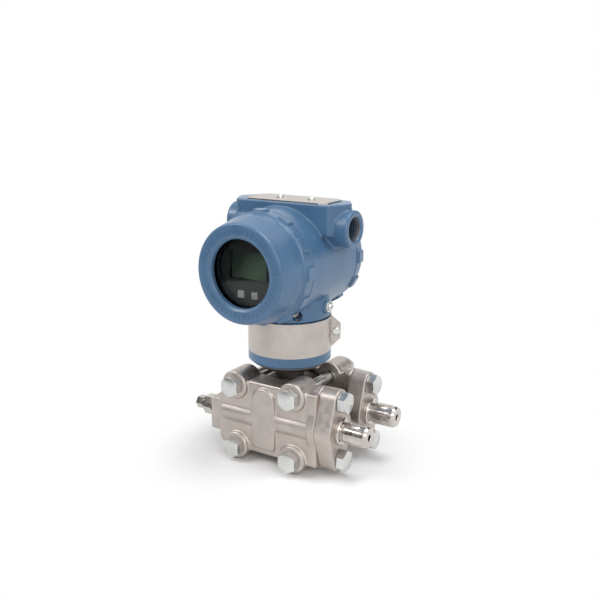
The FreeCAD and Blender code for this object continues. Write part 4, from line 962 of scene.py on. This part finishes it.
class TRANSMITTER_OT_studio(bpy.types.Operator):
    """Camera, floor, room light, dark cards and soft boxes"""
    bl_idname = "transmitter.studio"
    bl_label = "Studio"

    def execute(self, context):
        studio = settings("transmitter_studio")
        add_camera(studio)
        add_floor()
        add_room(studio.sky)
        dark_card("left_card", place=(-0.34, -0.50, 0.30), facing=(0, 0, 0.30), width=0.6, height=0.5)
        dark_card("upper_card", place=(-0.22, -0.20, 0.52), facing=(0.06, -0.02, 0.04), width=0.5,
                  height=0.16)
        dark_card("back_card", place=(0.32, 0.46, 0.42), facing=(0, 0, 0.2), width=0.6, height=0.4)
        soft_box("key", place=(-0.75, -0.75, 1.05), size=0.7, power=studio.key_power)
        soft_box("fill", place=(1.1, -0.5, 0.6), size=0.6, power=studio.fill_power * 0.45)
        soft_box("front", place=(0.66, -0.62, 0.66), size=0.25, power=studio.fill_power * 0.28)
        soft_box("top", place=(0.35, 0.1, 1.25), size=0.5, power=studio.fill_power * 1.3)
        soft_box("back", place=(0.50, 1.00, 0.52), size=0.5, power=studio.fill_power * 0.4)
        context.scene.view_settings.view_transform = "Standard"
        return {"FINISHED"}


def aimed(name, data, place, way):
    """A camera or a lamp that stands at a place and looks this way."""
    obj = add_object(name, data)
    obj.rotation_mode = "QUATERNION"
    obj.rotation_quaternion = way.to_track_quat("-Z", "Y")
    obj.location = place
    return obj


def add_camera(studio):
    """The camera stands at its angle round the object and looks down at the name band."""
    aside, height = 0.3 * MM, 114.93 * MM
    target = Vector((MODULE_CENTRE.x + aside, MODULE_CENTRE.y, height))
    across = math.cos(studio.elevation) * studio.distance
    away = Vector((across * math.sin(studio.azimuth), -across * math.cos(studio.azimuth),
                   math.sin(studio.elevation) * studio.distance))
    data = bpy.data.cameras.new("camera")
    data.lens = studio.lens
    data.sensor_width = 36
    data.shift_x = 0.0167
    data.shift_y = 0.0551
    data.clip_start = 0.01
    bpy.context.scene.camera = aimed("camera", data, target + away, -away)


def seen_rays(tree):
    """1 for camera, glossy and transmission rays, which see the white room."""
    path = tree.nodes.new("ShaderNodeLightPath")
    first = add(tree, "ShaderNodeMath", operation="MAXIMUM")
    second = add(tree, "ShaderNodeMath", operation="MAXIMUM")
    tree.links.new(path.outputs["Is Camera Ray"], first.inputs[0])
    tree.links.new(path.outputs["Is Glossy Ray"], first.inputs[1])
    tree.links.new(first.outputs[0], second.inputs[0])
    tree.links.new(path.outputs["Is Transmission Ray"], second.inputs[1])
    return second.outputs[0]


def flat_object(name, corners):
    """One four-sided face."""
    mesh = bpy.data.meshes.new(name)
    mesh.from_pydata(corners, [], [(0, 1, 2, 3)])
    return add_object(name, mesh)


def add_floor():
    """A pale floor that takes the object's shadow and turns into the white room further out."""
    half = 8.0
    floor = flat_object("floor", [(-half, -half, 0), (half, -half, 0), (half, half, 0),
                                  (-half, half, 0)])
    material = bpy.data.materials.new("floor")
    tree = bare_tree(material)
    output = tree.nodes.new("ShaderNodeOutputMaterial")
    diffuse = add(tree, "ShaderNodeBsdfDiffuse", Color=(0.9, 0.9, 0.9, 1))
    white = tree.nodes.new("ShaderNodeEmission")
    distance = add(tree, "ShaderNodeVectorMath", operation="LENGTH")
    tree.links.new(position(tree), distance.inputs[0])
    outward = add(tree, "ShaderNodeMapRange", interpolation_type="SMOOTHSTEP", From_Min=0.07,
                  From_Max=0.15)
    tree.links.new(distance.outputs["Value"], outward.inputs["Value"])
    seen = add(tree, "ShaderNodeMath", operation="MULTIPLY")
    tree.links.new(seen_rays(tree), seen.inputs[0])
    tree.links.new(outward.outputs["Result"], seen.inputs[1])
    both = tree.nodes.new("ShaderNodeMixShader")
    tree.links.new(seen.outputs[0], both.inputs["Fac"])
    tree.links.new(diffuse.outputs[0], both.inputs[1])
    tree.links.new(white.outputs[0], both.inputs[2])
    tree.links.new(both.outputs[0], output.inputs["Surface"])
    floor.data.materials.append(material)


def add_room(strength):
    """White where it is seen, and plain soft light elsewhere."""
    world = bpy.data.worlds.new("room")
    bpy.context.scene.world = world
    tree = bare_tree(world)
    output = tree.nodes.new("ShaderNodeOutputWorld")
    background = add(tree, "ShaderNodeBackground", Color=(1, 1, 1, 1))
    level = add(tree, "ShaderNodeMapRange", To_Min=strength, To_Max=1.0)
    tree.links.new(seen_rays(tree), level.inputs["Value"])
    tree.links.new(level.outputs["Result"], background.inputs["Strength"])
    tree.links.new(background.outputs[0], output.inputs["Surface"])


def dark_card(name, place, facing, width, height):
    """A black card that shows in reflections and throws no shadow; it faces the given point."""
    centre = Vector(place)
    away = (Vector(facing) - centre).normalized()
    across = away.cross(Vector((0, 0, 1))).normalized()
    rise = across.cross(away).normalized() * height / 2
    across = across * width / 2
    card = flat_object(name, [centre - across - rise, centre + across - rise,
                              centre + across + rise, centre - across + rise])
    material, _, shader = new_material(name)
    shader.inputs["Base Color"].default_value = (0.012, 0.012, 0.012, 1)
    shader.inputs["Roughness"].default_value = 0.9
    card.data.materials.append(material)
    card.visible_camera = card.visible_diffuse = card.visible_shadow = False


def soft_box(name, place, size, power):
    """A square lamp that faces the middle of the object."""
    middle = Vector((0, 0, 0.12))
    data = bpy.data.lights.new(name, "AREA")
    data.shape = "SQUARE"
    data.size = size
    data.energy = power
    aimed(name, data, place, middle - Vector(place))


# ---------------------------------------------------------------- add-on

class TRANSMITTER_PT_pieces(bpy.types.Panel):
    """Buttons for each group of pieces"""
    bl_label = "Pressure transmitter"
    bl_idname = "TRANSMITTER_PT_pieces"
    bl_space_type = "VIEW_3D"
    bl_region_type = "UI"
    bl_category = "Transmitter"

    def draw(self, context):
        for operator in OPERATORS:
            self.layout.operator(operator.bl_idname)


OPERATORS = (
    TRANSMITTER_OT_finishes,
    TRANSMITTER_OT_castings,
    TRANSMITTER_OT_cover_ticks,
    TRANSMITTER_OT_flange_fasteners,
    TRANSMITTER_OT_connectors,
    TRANSMITTER_OT_conduit_threads,
    TRANSMITTER_OT_studio,
)
GROUPS = {
    "transmitter_paint": PaintSettings,
    "transmitter_steel": SteelSettings,
    "transmitter_casting": CastingSettings,
    "transmitter_fasteners": FastenerSettings,
    "transmitter_studio": StudioSettings,
}


def register():
    for group in GROUPS.values():
        bpy.utils.register_class(group)
    for name, group in GROUPS.items():
        setattr(bpy.types.Scene, name, bpy.props.PointerProperty(type=group))
    for operator in OPERATORS:
        bpy.utils.register_class(operator)
    bpy.utils.register_class(TRANSMITTER_PT_pieces)


def unregister():
    bpy.utils.unregister_class(TRANSMITTER_PT_pieces)
    for operator in reversed(OPERATORS):
        bpy.utils.unregister_class(operator)
    for name, group in GROUPS.items():
        delattr(bpy.types.Scene, name)
        bpy.utils.unregister_class(group)


def main():
    register()
    for operator in OPERATORS:
        group, name = operator.bl_idname.split(".")
        getattr(getattr(bpy.ops, group), name)()


if __name__ == "__main__":
    main()
